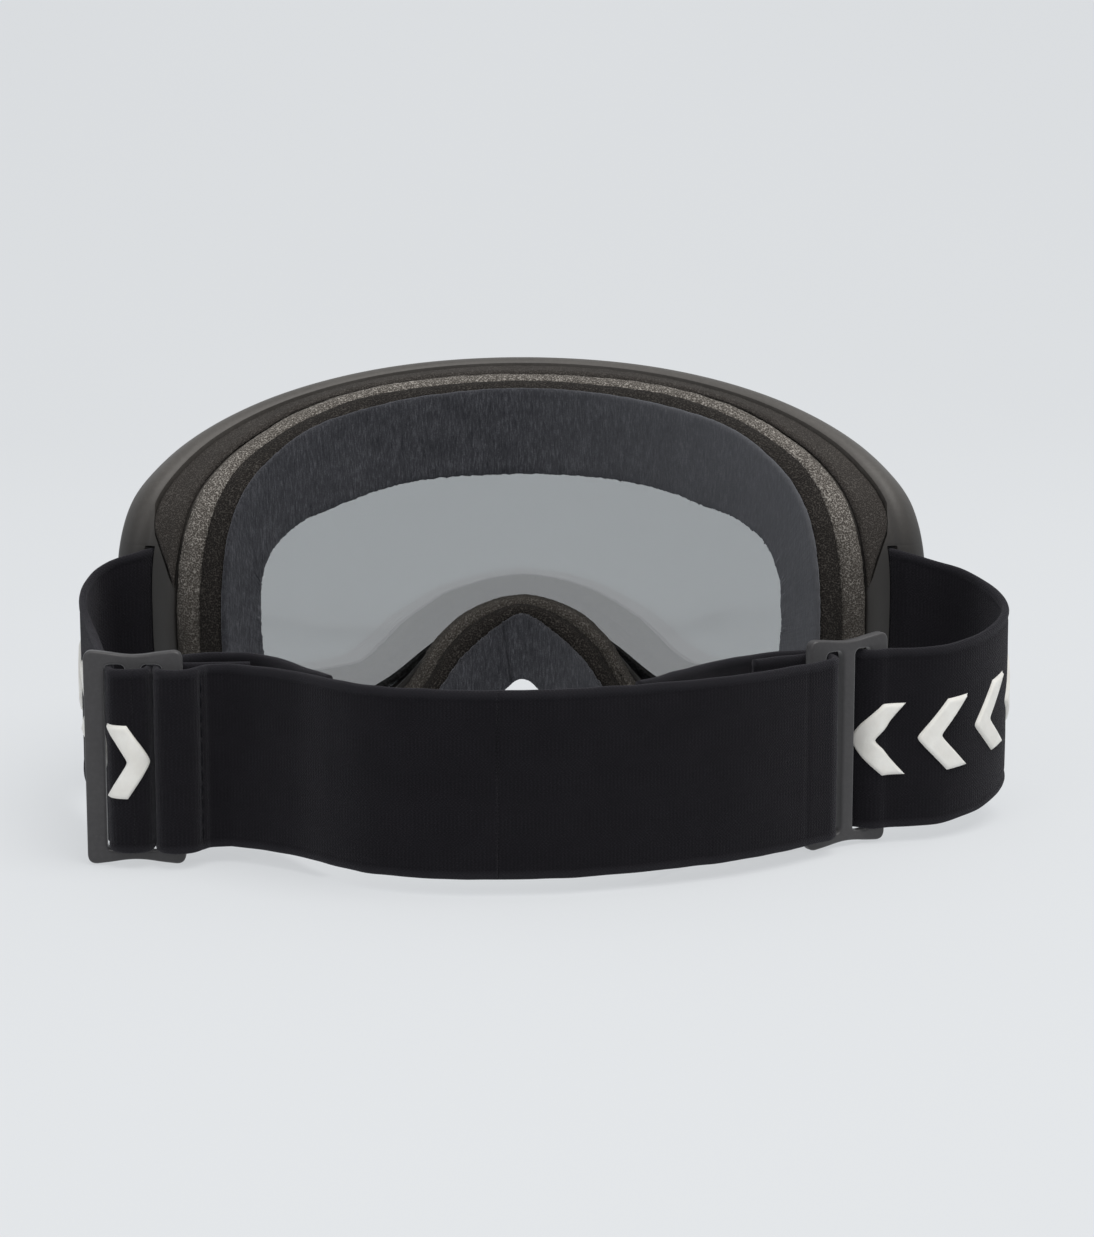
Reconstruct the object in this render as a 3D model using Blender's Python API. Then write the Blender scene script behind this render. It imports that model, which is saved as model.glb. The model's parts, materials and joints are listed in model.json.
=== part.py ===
"""Ski goggles with an elastic head strap.

The goggles stand on the lower rim.  The lens faces -Y, the wearer is on the
+Y side, +Z is up.  Everything in the goggle body is wrapped round one vertical
axis: a point is given by its distance along the wrap (at 90 mm radius), its
height and its radius.
"""

import math

import bmesh
import bpy
from mathutils import Vector

MM = 0.001

# ---------------------------------------------------------------- dimensions
WRAP = 90.0            # radius at which widths along the wrap are measured
SHIFT_X = 4.8          # moves the whole object so the origin is bottom centre
SHIFT_Y = 34.45

STATIONS = 80          # points round every closed outline

LIP_R = 109.2          # front lip of the rim
RIM_BACK_R = 100.4     # rear shoulder of the rim
WALL_FRONT_R = 99.8    # front end of the sloping wall between rim and flange
WALL_BACK_R = 93.4     # rear end of the sloping wall
FLANGE_R = 92.2        # rear face of the flange that carries the foam
FLANGE_T = 1.8
SEAT_R = 106.2         # seat of the outer lens

LENS_OUT_R = 108.2
LENS_IN_R = 106.5
GASKET_R = (103.3, 106.2)
PANE_R = (102.1, 103.0)
LENS_MARGIN = 4.6      # edge of the outer lens inside the rim outline
PANE_MARGIN = 7.3      # edge of the inner pane and of its gasket
GASKET_MARGIN = 9.6    # inner edge of the gasket

LIGHT_FOAM_R = (86.2, 91.85)
DARK_FOAM_R = (80.25, 85.8)
FLEECE_R = (78.65, 79.85)

STRAP_W = 39.2         # height of the webbing
STRAP_T = 1.5          # thickness of the webbing
STRAP_Z = 3.35         # lower edge of the webbing behind the head
SLOT_Z = 16.2          # lower edge of the webbing at the frame slot
SLOT_R = 99.6          # radius of the frame slot
SLOT_U = 90.6          # distance of the frame slot along the wrap
SLOT_DEPTH = 2.0       # the slot box sits this far back along the wall
SLOT_BOX = (2.3, 18.0, STRAP_W + 1.2)

VENT_R = 96.6          # middle of the wall, where the vent windows are
VENT_BOX = (15.0, 3.2, 11.0)
VENT_POINTS = 480      # outline points used to place the windows
VENTS_AT = (-74, -44, -15, 15, 44, 74)          # windows, in those points
VENT_FOAM_POINTS = 1408
VENT_FOAM_HALF = 34    # stations from the top centre to each end of the strip

SLIDER_H = 46.0
SLIDER_BAR = 3.2       # middle bar
SLIDER_SIDE = 4.2      # outer bars
SLIDER_WINDOW = 4.5
SLIDER_WINDOW_H = 39.8
SLIDER_T = 2.4
SLIDER_CORNER = 2.9
SLIDER_CHAMFER = 0.45
SLIDER_L_AT = (80.1, 15.0)
SLIDER_R_AT = (-69.5, -0.05)
SLIDER_R_TURN = 33.0   # degrees the right slider follows the strap round

MARK_H = 15.6
MARK_T = 0.6
MARK_GAP = 0.4
MARK_STROKE = 5.6
MARK_LEAN = 7.4
MARKS_LEFT = (22.4, 37.0, 51.7, 66.4, 83.7)     # start of each mark along the strap
MARKS_RIGHT = (18.6, 33.9, 49.2, 64.5, 79.8)
MARK_PLAIN = (MARK_LEAN, MARK_STROKE, 5, 4)     # lean, stroke, rows, columns
MARK_BENT = (MARK_LEAN, MARK_STROKE, 13, 6)
MARK_SMALL = (4.6, 4.4, 13, 6)                  # fits the window of the left slider

# Half outlines from the top centre down to the nose: (width, height) in mm.
RIM = (
    (0, 93.3), (20, 92.4), (38, 89.8), (55, 85.5), (70, 79.6), (81, 72.9),
    (88.5, 65.5), (92.6, 54.5), (93.2, 41), (92.2, 27), (87, 13.5),
    (73, 3.4), (54, -0.45), (38, 1.7), (25, 7.7), (12.5, 18), (0, 24),
)
FOAM_OUTER = (
    (0, 90.6), (20, 90.0), (38, 87.9), (53, 84.4), (65.5, 79.4), (76.5, 73.5),
    (85.2, 65.6), (90.2, 54.5), (91.9, 40.5), (90.4, 26.5), (84.2, 14.5),
    (71, 6.8), (54, 3.6), (37, 4.6), (22.5, 8), (10, 13.2), (0, 19.6),
)
FOAM_MIDDLE = (
    (0, 90.2), (21, 89.3), (40, 87.2), (55, 83.3), (67, 78.6), (77, 73.3),
    (84.7, 64.9), (89.2, 54.0), (90.8, 39.5), (89.6, 26.0), (83.6, 14.5),
    (70.8, 7.0), (54, 3.9), (37, 4.8), (22, 8.2), (9.7, 13.3), (0, 19.6),
)
FLEECE_OUTER = (
    (0, 88.7), (24.2, 87.4), (43, 84.8), (58.3, 81.5), (70.5, 76.1), (79.8, 70.0),
    (86.3, 61.8), (89.6, 50.5), (90.4, 38), (88.8, 26.2), (82.6, 15.2),
    (69.8, 8.4), (54, 5.2), (37, 5.8), (21.6, 8.8), (9, 13.6), (0, 19.6),
)
FLANGE_INNER = (
    (0, 72.5), (19, 72.1), (36, 70.2), (50, 67), (61, 62.8), (70, 57.5),
    (76, 50.5), (79, 42), (79.6, 34), (77.5, 26), (71, 18.5),
    (59, 14.2), (44, 12.9), (31.5, 14.4), (19.6, 26.2), (10.4, 33.4), (0, 35.9),
)
LIGHT_INNER = (
    (0, 71.2), (19, 70.8), (36, 68.9), (49.5, 65.8), (60.4, 61.8), (69, 56.5),
    (75, 49.8), (78.2, 42), (78.8, 34), (76.6, 26), (70.3, 18.8),
    (58.5, 14.6), (42.5, 13), (29.4, 15.2), (20.9, 27.0), (12.2, 34.4), (0, 37.7),
)
DARK_INNER = (
    (0, 70.9), (19, 70.5), (36, 68.6), (49.5, 65.4), (60.4, 61.2), (68.8, 55.8),
    (74.6, 49.2), (77.5, 42), (78, 34), (75.8, 26), (69.5, 19),
    (58, 14.8), (41.5, 13.2), (27.4, 15.4), (18.8, 26.4), (10.2, 33.2), (0, 36.6),
)
FLEECE_INNER = (
    (0, 68.6), (19, 68.2), (36, 66.4), (49.5, 63.4), (61.6, 60.4), (70.8, 55.6),
    (75.4, 48.8), (76.2, 41.5), (76.1, 34.3), (73.8, 26), (67.5, 19.2),
    (56.5, 15.2), (40, 13.6), (25.2, 15.6), (16.3, 24.7), (7.6, 31.6), (0, 35.2),
)

# Plan paths of the webbing centre lines (x, y, lower edge height).
LEFT_SIDE = (
    (85.1, -51.8, 16.2), (87.0, -50.2, 15.8), (90.0, -49.9, 15.0), (93.2, -49.2, 13.8),
    (96.2, -45.2, 12.0), (97.3, -38.0, 9.8), (96.3, -29.0, 7.6), (93.2, -18.0, 5.4),
    (90.1, -6.0, 4.0), (88.0, 3.2, 3.5), (86.3, 9.2, STRAP_Z), (85.1, 13.4, STRAP_Z),
    (85.05, 15.6, STRAP_Z), (84.0, 18.1, STRAP_Z), (81.5, 19.1, STRAP_Z),
    (78.9, 18.8, STRAP_Z), (77.3, 17.2, STRAP_Z), (76.9, 14.8, STRAP_Z),
    (76.7, 12.6, STRAP_Z), (75.2, 9.2, STRAP_Z), (71.8, 5.0, STRAP_Z),
    (66.4, 1.8, STRAP_Z), (60.0, 1.6, STRAP_Z), (54.6, 3.7, STRAP_Z),
    (50.4, 7.6, STRAP_Z), (47.0, 12.6, STRAP_Z), (43.0, 19.0, STRAP_Z),
    (38.6, 24.6, STRAP_Z),
)
RIGHT_SIDE = (
    (-85.1, -51.8, 16.2), (-87.0, -50.2, 15.8), (-90.2, -49.9, 15.0), (-94.6, -49.6, 13.8),
    (-99.2, -47.4, 12.6), (-103.4, -42.8, 11.0), (-106.2, -35.6, 9.4), (-106.9, -28.6, 7.8),
    (-105.2, -22.4, 6.4), (-101.2, -15.4, 5.0), (-95.2, -8.8, 3.9), (-88.4, -4.6, 3.4),
)
RIGHT_TAIL = (
    (-60.0, -0.9), (-55.4, 0.6), (-50.6, 2.9), (-45.8, 6.6), (-39.6, 12.4),
    (-33.6, 19.6), (-28.4, 26.2), (-24.4, 30.6),
)
# Paths through the sliders, from the slider's own centre (along it, behind it).
RIGHT_PASS = (
    (9.4, 3.2), (6.6, 2.9), (4.7, 1.5), (3.1, -1.5), (0.0, -2.7), (-2.4, -3.6), (-5.4, -5.4),
)
LOOP_LOCAL = (
    (-24.0, -3.6), (-19.6, -3.3), (-15.1, -3.1), (-11.6, -2.7), (-8.9, -2.6),
    (-6.9, -2.75), (-5.5, -2.1), (-5.0, -0.7), (-5.0, 1.5), (-5.7, 3.4), (-7.2, 4.6),
    (-9.4, 4.9), (-11.9, 3.8), (-13.8, 1.3), (-15.4, -0.8), (-18.6, -1.4),
)
LOOP_LOCAL_RIGHT = (
    (-22.0, -3.4), (-17.5, -3.0), (-13.0, -2.7), (-9.2, -2.6), (-6.9, -2.75),
    (-5.5, -2.1), (-5.0, -0.7), (-5.0, 1.5), (-5.7, 3.4), (-7.4, 4.8), (-9.8, 5.4),
)
BACK_MIDDLE = (
    (60.0, 13.6), (54.0, 16.0), (45.3, 21.6), (38.0, 28.6), (30.5, 34.2),
    (22.0, 37.6), (12.0, 39.4), (1.5, 39.4), (-9.5, 38.2), (-24.9, 33.7),
    (-41.5, 26.6), (-52.5, 19.6),
)

COLLECTION_NAME = "ski_goggles"


# ------------------------------------------------------------------- helpers
def clear_scene():
    for obj in list(bpy.data.objects):
        bpy.data.objects.remove(obj, do_unlink=True)
    for col in list(bpy.data.collections):
        bpy.data.collections.remove(col)


def make_material(name, colour, roughness, metallic=0.0, alpha=1.0):
    mat = bpy.data.materials.new(name)
    mat.use_nodes = True
    shader = mat.node_tree.nodes["Principled BSDF"]
    shader.inputs["Base Color"].default_value = (*colour, 1.0)
    shader.inputs["Roughness"].default_value = roughness
    shader.inputs["Metallic"].default_value = metallic
    shader.inputs["Alpha"].default_value = alpha
    return mat


def world(x, y, z):
    return Vector(((x + SHIFT_X) * MM, (y + SHIFT_Y) * MM, z * MM))


def wrapped(u, z, r):
    """Point on the wrap: u along the arc at WRAP radius, height z, radius r."""
    angle = u / WRAP
    return world(r * math.sin(angle), -r * math.cos(angle), z)


def new_object(name, verts, faces, collection):
    """Mesh object with its faces turned outward."""
    mesh = bpy.data.meshes.new(name)
    mesh.from_pydata([tuple(v) for v in verts], [], faces)
    bm = bmesh.new()
    bm.from_mesh(mesh)
    bmesh.ops.recalc_face_normals(bm, faces=bm.faces)
    bm.to_mesh(mesh)
    bm.free()
    obj = bpy.data.objects.new(name, mesh)
    collection.objects.link(obj)
    return obj


def add_mesh(name, verts, faces, mat, collection):
    obj = new_object(name, verts, faces, collection)
    obj.data.materials.append(mat)
    obj.data.shade_smooth()
    obj.data.set_sharp_from_angle(angle=math.radians(38))
    return obj


def spline(points, t, closed=False):
    """Catmull-Rom through points at parameter t (0 .. number of spans)."""
    n = len(points)
    i = int(math.floor(t))
    f = t - i
    if not closed:
        i = max(0, min(n - 2, i))
        f = t - i

    def at(k):
        if closed:
            return points[k % n]
        if k < 0:
            return tuple(2 * a - b for a, b in zip(points[0], points[1]))
        if k > n - 1:
            return tuple(2 * a - b for a, b in zip(points[-1], points[-2]))
        return points[k]

    p0, p1, p2, p3 = at(i - 1), at(i), at(i + 1), at(i + 2)
    out = []
    for a, b, c, d in zip(p0, p1, p2, p3):
        out.append(0.5 * (2 * b + (c - a) * f + (2 * a - 5 * b + 4 * c - d) * f * f
                          + (3 * b - a - 3 * c + d) * f ** 3))
    return tuple(out)


def full_outline(half, count=STATIONS):
    """Closed outline, clockwise from the top centre, from a half outline."""
    pts = list(half) + [(-u, z) for u, z in reversed(half[1:-1])]
    n = len(pts)
    return [spline(pts, n * k / count, closed=True) for k in range(count)]


def inset(outline, r, amount):
    """Outline moved inward by amount (mm, or one amount per point) at radius r."""
    n = len(outline)
    k = r / WRAP
    out = []
    for i in range(n):
        u0, z0 = outline[i - 1]
        u1, z1 = outline[(i + 1) % n]
        tu, tz = (u1 - u0) * k, z1 - z0
        length = math.hypot(tu, tz)
        d = amount[i] if isinstance(amount, list) else amount
        # clockwise seen from behind with +u to the right: inward is (tz, -tu)
        out.append((outline[i][0] + tz / length * d / k, outline[i][1] - tu / length * d))
    return out


def between(outer, inner, f=0.5):
    """Outline part of the way from one outline to another."""
    return [(a[0] + (b[0] - a[0]) * f, a[1] + (b[1] - a[1]) * f) for a, b in zip(outer, inner)]


def ring_loft(name, rings, mat, collection):
    """Closed tube-like body; rings are (radius, outline) listed round the section."""
    verts = []
    for r, outline in rings:
        radii = r if isinstance(r, list) else [r] * len(outline)
        verts += [wrapped(u, z, rr) for (u, z), rr in zip(outline, radii)]
    m = len(rings[0][1])
    s = len(rings)
    faces = []
    for i in range(s):
        j = (i + 1) % s
        for k in range(m):
            l = (k + 1) % m
            faces.append((i * m + k, i * m + l, j * m + l, j * m + k))
    return add_mesh(name, verts, faces, mat, collection)


def arc_loft(name, rings, mat, collection):
    """Closed body with two ends; rings are lists of world points, all one length."""
    m = len(rings[0])
    s = len(rings)
    verts = [p for ring in rings for p in ring]
    faces = []
    for i in range(s - 1):
        for k in range(m):
            l = (k + 1) % m
            faces.append((i * m + k, i * m + l, (i + 1) * m + l, (i + 1) * m + k))
    faces.append(tuple(range(m)))
    faces.append(tuple((s - 1) * m + k for k in range(m)))
    return add_mesh(name, verts, faces, mat, collection)


def resample(points, step):
    """Even stations along a smooth path; returns (position, tangent, distance)."""
    fine = []
    spans = len(points) - 1
    for i in range(spans * 24 + 1):
        fine.append(spline(points, i / 24.0))
    dist = [0.0]
    for a, b in zip(fine, fine[1:]):
        dist.append(dist[-1] + math.hypot(b[0] - a[0], b[1] - a[1]))
    total = dist[-1]
    count = max(2, int(round(total / step)))
    out = []
    j = 0
    for i in range(count + 1):
        s = total * i / count
        while j < len(dist) - 2 and dist[j + 1] < s:
            j += 1
        f = (s - dist[j]) / max(1e-9, dist[j + 1] - dist[j])
        a, b = fine[j], fine[j + 1]
        pos = tuple(p + (q - p) * f for p, q in zip(a, b))
        out.append((pos, s))
    res = []
    for i, (pos, s) in enumerate(out):
        a = out[max(0, i - 1)][0]
        b = out[min(len(out) - 1, i + 1)][0]
        length = math.hypot(b[0] - a[0], b[1] - a[1])
        res.append((pos, ((b[0] - a[0]) / length, (b[1] - a[1]) / length), s))
    return res


def ribbon(name, path, mat, collection):
    """Upright webbing swept along a plan path (x, y, lower edge height)."""
    rings = []
    h = STRAP_T / 2
    for (x, y, z), (tx, ty), _ in resample(path, 1.5):
        nx, ny = -ty, tx
        rings.append([
            world(x + nx * h, y + ny * h, z), world(x - nx * h, y - ny * h, z),
            world(x - nx * h, y - ny * h, z + STRAP_W), world(x + nx * h, y + ny * h, z + STRAP_W),
        ])
    return arc_loft(name, rings, mat, collection)


def cut(obj, cutter):
    """Take the cutter's volume out of the object."""
    mod = obj.modifiers.new("cut", "BOOLEAN")
    mod.operation = "DIFFERENCE"
    mod.solver = "EXACT"
    mod.object = cutter


def box_on_frame(name, centre, axes, size, collection):
    """Box with its own three unit axes."""
    verts = []
    for sx in (-0.5, 0.5):
        for sy in (-0.5, 0.5):
            for sz in (-0.5, 0.5):
                p = Vector(centre)
                for axis, length, s in zip(axes, size, (sx, sy, sz)):
                    p = p + Vector(axis) * (length * s * MM)
                verts.append(p)
    faces = [(0, 1, 3, 2), (4, 6, 7, 5), (0, 4, 5, 1), (2, 3, 7, 6), (0, 2, 6, 4), (1, 5, 7, 3)]
    obj = new_object(name, verts, faces, collection)
    obj.hide_render = True
    obj.display_type = "WIRE"
    return obj


# ---------------------------------------------------------------- goggle body
def recess_weight(count=STATIONS):
    """1 along the top where the vent foam lies in the wall, 0 elsewhere."""
    out = []
    for k in range(count):
        t = k / count
        t = min(t, 1.0 - t) * 32.0
        w = (7.9 - t) / 0.4
        out.append(max(0.0, min(1.0, w)))
    return out


def build_frame(mats, collection, cutters):
    rim = full_outline(RIM)
    foam = full_outline(FOAM_OUTER)
    hole = full_outline(FLANGE_INNER)
    w = recess_weight()
    floor_top = [1.9 + 1.0 * a for a in w]
    floor_low = [-0.5 + 1.3 * a for a in w]
    rings = [
        (LIP_R, inset(rim, LIP_R, 3.6)),
        (LIP_R - 0.1, inset(rim, LIP_R, 2.9)),
        (LIP_R - 0.9, inset(rim, LIP_R, 1.9)),
        (106.4, inset(rim, 106.4, 0.75)),
        (104.0, inset(rim, 104.0, 0.05)),
        (101.8, inset(rim, 101.8, 0.35)),
        (RIM_BACK_R, inset(rim, RIM_BACK_R, 1.35)),
        (WALL_FRONT_R, inset(rim, WALL_FRONT_R, floor_top)),
        (WALL_BACK_R, inset(foam, WALL_BACK_R, floor_low)),
        (FLANGE_R, inset(foam, FLANGE_R, 0.7)),
        (FLANGE_R, between(foam, hole)),
        (FLANGE_R, inset(hole, FLANGE_R, 0.35)),
        (FLANGE_R + 0.9, inset(hole, FLANGE_R, 0.0)),
        (FLANGE_R + FLANGE_T, inset(hole, FLANGE_R, 0.35)),
        (FLANGE_R + FLANGE_T + 0.4, inset(foam, 94.4, 3.2)),
        (100.6, inset(rim, 100.6, 5.0)),
        (104.4, inset(rim, 104.4, 6.9)),
        (SEAT_R, inset(rim, SEAT_R, 6.9)),
        (SEAT_R, inset(rim, SEAT_R, 4.2)),
        (LIP_R - 0.2, inset(rim, LIP_R, 4.2)),
    ]
    frame = ring_loft("frame", rings, mats["frame"], collection)

    # Strap slots through the side walls, one per side.
    for side in (1, -1):
        angle = SLOT_U / WRAP
        radial = Vector((side * math.sin(angle), -math.cos(angle), 0))
        along = Vector((side * math.cos(angle), math.sin(angle), 0))
        reach = SLOT_R * math.sin(angle) - SLOT_DEPTH * math.cos(angle)
        back = -SLOT_R * math.cos(angle) - SLOT_DEPTH * math.sin(angle)
        centre = world(side * reach, back, SLOT_Z + STRAP_W / 2)
        cutter = box_on_frame("slot_cutter_%s" % ("l" if side > 0 else "r"), centre,
                              (radial, along, Vector((0, 0, 1))), SLOT_BOX, cutters)
        cut(frame, cutter)

    # Both lower lobes are flat where the goggles stand.
    floor = box_on_frame("floor_cutter", world(0, -70, -3.0),
                         (Vector((1, 0, 0)), Vector((0, 1, 0)), Vector((0, 0, 1))),
                         (220.0, 110.0, 6.0), cutters)
    cut(frame, floor)

    # Vent windows through the top wall, under the vent foam.
    mid = between(full_outline(RIM, VENT_POINTS), full_outline(FOAM_OUTER, VENT_POINTS))
    for number, k in enumerate(VENTS_AT):
        u, z = mid[k]
        u0, z0 = mid[k - 2]
        u1, z1 = mid[k + 2]
        centre = wrapped(u, z - 1.5, VENT_R)
        tangent = (wrapped(u1, z1, VENT_R) - wrapped(u0, z0, VENT_R)).normalized()
        radial = Vector((math.sin(u / WRAP), -math.cos(u / WRAP), 0))
        up = tangent.cross(radial).normalized()
        radial = up.cross(tangent).normalized()
        cutter = box_on_frame("vent_cutter_%d" % number, centre, (tangent, radial, up),
                              VENT_BOX, cutters)
        cut(frame, cutter)
    return frame


def half_spans(half, r, amount):
    """Upper and lower branch of the right half of an outline, and its widest point."""
    count = 2400
    outline = inset(full_outline(half, count), r, amount)
    right = [p for p in outline[: count // 2 + 1] if p[0] >= -0.001]
    widest = max(range(len(right)), key=lambda i: right[i][0])
    top = right[: widest + 1]
    low = right[widest:]
    return top, low, right[widest][0]


def height_at(branch, u):
    """Height of an outline branch at width u."""
    pts = sorted(branch)
    for (u0, z0), (u1, z1) in zip(pts, pts[1:]):
        if u0 <= u <= u1:
            f = (u - u0) / max(1e-9, u1 - u0)
            return z0 + (z1 - z0) * f
    return pts[-1][1] if u > pts[-1][0] else pts[0][1]


def pane(name, r0, r1, margin, mat, collection, columns):
    """Curved lens: upright columns between the upper and lower edge."""
    top, low, widest = half_spans(RIM, r1, margin)
    widths = []
    for i in range(columns + 1):
        widths.append(widest * math.sin(math.pi / 2 * i / columns) * 0.9985)
    spans = [(-w, height_at(top, w), height_at(low, w)) for w in reversed(widths[1:])]
    spans += [(w, height_at(top, w), height_at(low, w)) for w in widths]
    rings = []
    for u, z1, z0 in spans:
        rings.append([wrapped(u, z0, r0), wrapped(u, z0, r1), wrapped(u, z1, r1), wrapped(u, z1, r0)])
    return arc_loft(name, rings, mat, collection)


def build_lenses(mats, collection):
    pane("lens_outer", LENS_IN_R, LENS_OUT_R, LENS_MARGIN, mats["lens"], collection, 30)
    pane("lens_inner", PANE_R[0], PANE_R[1], PANE_MARGIN, mats["lens"], collection, 26)
    rim = full_outline(RIM)
    back, front = GASKET_R
    ring_loft("lens_gasket", [
        (back, inset(rim, back, PANE_MARGIN)),
        (front, inset(rim, front, PANE_MARGIN)),
        (front, inset(rim, front, GASKET_MARGIN)),
        (back, inset(rim, back, GASKET_MARGIN)),
    ], mats["gasket"], collection)


def build_vent_foam(mats, collection):
    """Crescent strip in the recess of the top wall; its ends are cut slanting."""
    count = VENT_FOAM_POINTS
    floor_rim = inset(full_outline(RIM, count), WALL_FRONT_R, 2.9)
    floor_foam = inset(full_outline(FOAM_OUTER, count), WALL_BACK_R, 0.8)
    half = VENT_FOAM_HALF
    rings = []
    for k in range(-half, half + 1):
        fade = min(1.0, (half - abs(k)) / 2.0)
        section = []
        for r, lift in ((99.35, 1.45), (96.6, 1.95), (93.0, 1.5), (93.0, 0.5), (96.6, 0.5), (99.35, 0.5)):
            f = (WALL_FRONT_R - r) / (WALL_FRONT_R - WALL_BACK_R)
            index = int(round(k / half * (280 + 38 * f))) % count
            line = [(p[0] + (q[0] - p[0]) * f, p[1] + (q[1] - p[1]) * f)
                    for p, q in ((floor_rim[i % count], floor_foam[i % count])
                                 for i in (index - 1, index, index + 1))]
            amount = 0.4 + (lift - 0.4) * (0.35 + 0.65 * fade)
            u, z = inset(line, r, -amount)[1]
            section.append(wrapped(u, z, r))
        rings.append(section)
    arc_loft("vent_foam", rings, mats["vent_foam"], collection)


def build_foam(mats, collection):
    outer = full_outline(FOAM_OUTER)
    middle = full_outline(FOAM_MIDDLE)
    face = full_outline(FLEECE_OUTER)
    r0, r1 = LIGHT_FOAM_R
    light_in = full_outline(LIGHT_INNER)
    ring_loft("face_foam_light", [
        (r1, inset(outer, r1, 0.7)),
        (r1 - 1.2, inset(outer, r1, 0.0)),
        (r1 - 2.9, inset(outer, r1, -0.3)),
        (r0 + 1.0, inset(middle, r0, -0.5)),
        (r0, inset(middle, r0, 0.2)),
        (r0, between(middle, light_in)),
        (r0, inset(light_in, r0, -0.5)),
        (r0 + 1.0, inset(light_in, r0, 0.0)),
        (r1, inset(light_in, r1, -0.3)),
        (r1, between(outer, light_in)),
    ], mats["foam_light"], collection)
    r0, r1 = DARK_FOAM_R
    dark_in = full_outline(DARK_INNER)
    ring_loft("face_foam_dark", [
        (r1, inset(middle, r1, 0.3)),
        (r1 - 2.8, inset(middle, r1, 0.5)),
        (r0 + 0.8, inset(face, r0, 0.1)),
        (r0, inset(face, r0, 0.4)),
        (r0, between(face, dark_in)),
        (r0, inset(dark_in, r0, -0.4)),
        (r1 - 2.8, inset(dark_in, r1, -0.2)),
        (r1, inset(dark_in, r1, -0.2)),
        (r1, between(middle, dark_in)),
    ], mats["foam_dark"], collection)
    r0, r1 = FLEECE_R
    fleece_in = full_outline(FLEECE_INNER)
    ring_loft("face_fleece", [
        (r1, inset(face, r1, 0.0)),
        (r0, inset(face, r0, 0.5)),
        (r0, between(face, fleece_in)),
        (r0, inset(fleece_in, r0, -0.3)),
        (r1, inset(fleece_in, r1, 0.0)),
        (r1, between(face, fleece_in)),
    ], mats["fleece"], collection)


# ---------------------------------------------------------------------- strap
def right_local(a, b):
    turn = math.radians(SLIDER_R_TURN)
    ax, ay = -math.cos(turn), -math.sin(turn)
    bx, by = -math.sin(turn), math.cos(turn)
    return (SLIDER_R_AT[0] + a * ax + b * bx, SLIDER_R_AT[1] + a * ay + b * by)


def left_local(a, b):
    return (SLIDER_L_AT[0] + a, SLIDER_L_AT[1] + b)


def right_side_path():
    through = [right_local(a, b) for a, b in RIGHT_PASS]
    return list(RIGHT_SIDE) + [(x, y, STRAP_Z) for x, y in through + list(RIGHT_TAIL)]


def back_path():
    path = [left_local(a, b) for a, b in LOOP_LOCAL]
    path += list(BACK_MIDDLE)
    path += [right_local(a, b) for a, b in reversed(LOOP_LOCAL_RIGHT)]
    return [(x, y, STRAP_Z) for x, y in path]


def side_strap(name, side, path, mat, collection):
    """Side strap whose sewn end sits in the frame slot; returns fine stations along it."""
    angle = SLOT_U / WRAP
    along = (math.cos(angle), math.sin(angle))
    base = (SLOT_R * math.sin(angle), -SLOT_R * math.cos(angle))
    inner = []
    for d in (-4.2, -1.6):
        inner.append((side * (base[0] + along[0] * d), base[1] + along[1] * d, SLOT_Z))
    full = inner + list(path)
    ribbon(name, full, mat, collection)
    return resample(full, 0.4)


def build_mark(name, stations, start, side, shape, mat, collection):
    """Raised chevron that follows the outer face of the side strap."""
    lean_by, stroke, rows, cols = shape
    face = STRAP_T / 2 + MARK_GAP
    top = []
    bottom = []
    for i in range(rows):
        v = i / (rows - 1) * 2 - 1
        lean = lean_by * (1 - abs(v))
        for j in range(cols):
            s = start + lean + stroke * j / (cols - 1)
            best = min(stations, key=lambda q: abs(q[2] - s))
            (x, y, z), (tx, ty), _ = best
            nx, ny = ty * side, -tx * side
            zc = z + STRAP_W / 2 + v * MARK_H / 2
            bottom.append(world(x + nx * face, y + ny * face, zc))
            top.append(world(x + nx * (face + MARK_T), y + ny * (face + MARK_T), zc))
    verts = bottom + top
    n = len(bottom)
    faces = []
    for i in range(rows - 1):
        for j in range(cols - 1):
            a = i * cols + j
            quad = (a, a + 1, a + cols + 1, a + cols)
            faces.append(quad)
            faces.append(tuple(n + q for q in reversed(quad)))
    edge = [j for j in range(cols)]
    edge += [i * cols + cols - 1 for i in range(1, rows)]
    edge += [(rows - 1) * cols + j for j in range(cols - 2, -1, -1)]
    edge += [i * cols for i in range(rows - 2, 0, -1)]
    for a, b in zip(edge, edge[1:] + edge[:1]):
        faces.append((a, b, n + b, n + a))
    add_mesh(name, verts, faces, mat, collection)


def rounded_outline(points, radius, steps=3):
    """Closed 2D outline with every corner replaced by a short arc."""
    out = []
    n = len(points)
    for i in range(n):
        p0, p1, p2 = points[i - 1], points[i], points[(i + 1) % n]
        a = Vector((p0[0] - p1[0], p0[1] - p1[1])).normalized()
        b = Vector((p2[0] - p1[0], p2[1] - p1[1])).normalized()
        limit = min(radius, 0.45 * math.hypot(p0[0] - p1[0], p0[1] - p1[1]),
                    0.45 * math.hypot(p2[0] - p1[0], p2[1] - p1[1]))
        start = Vector(p1) + a * limit
        end = Vector(p1) + b * limit
        for k in range(steps + 1):
            f = k / steps
            p = start.lerp(Vector(p1), f).lerp(Vector(p1).lerp(end, f), f)
            out.append((p.x, p.y))
    return out


def slider_ends(w, h, dip=1.2):
    """Corner points of the plate with both ends drawn in between the corners."""
    sweep = [(w * (k - 4) / 4, dip * math.sin(math.pi * k / 8) ** 2) for k in (2, 3, 4, 5, 6)]
    low = [(-w, -h)] + [(x, -h + d) for x, d in sweep] + [(w, -h)]
    high = [(w, h)] + [(-x, h - d) for x, d in sweep] + [(-w, h)]
    return low + high


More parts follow.
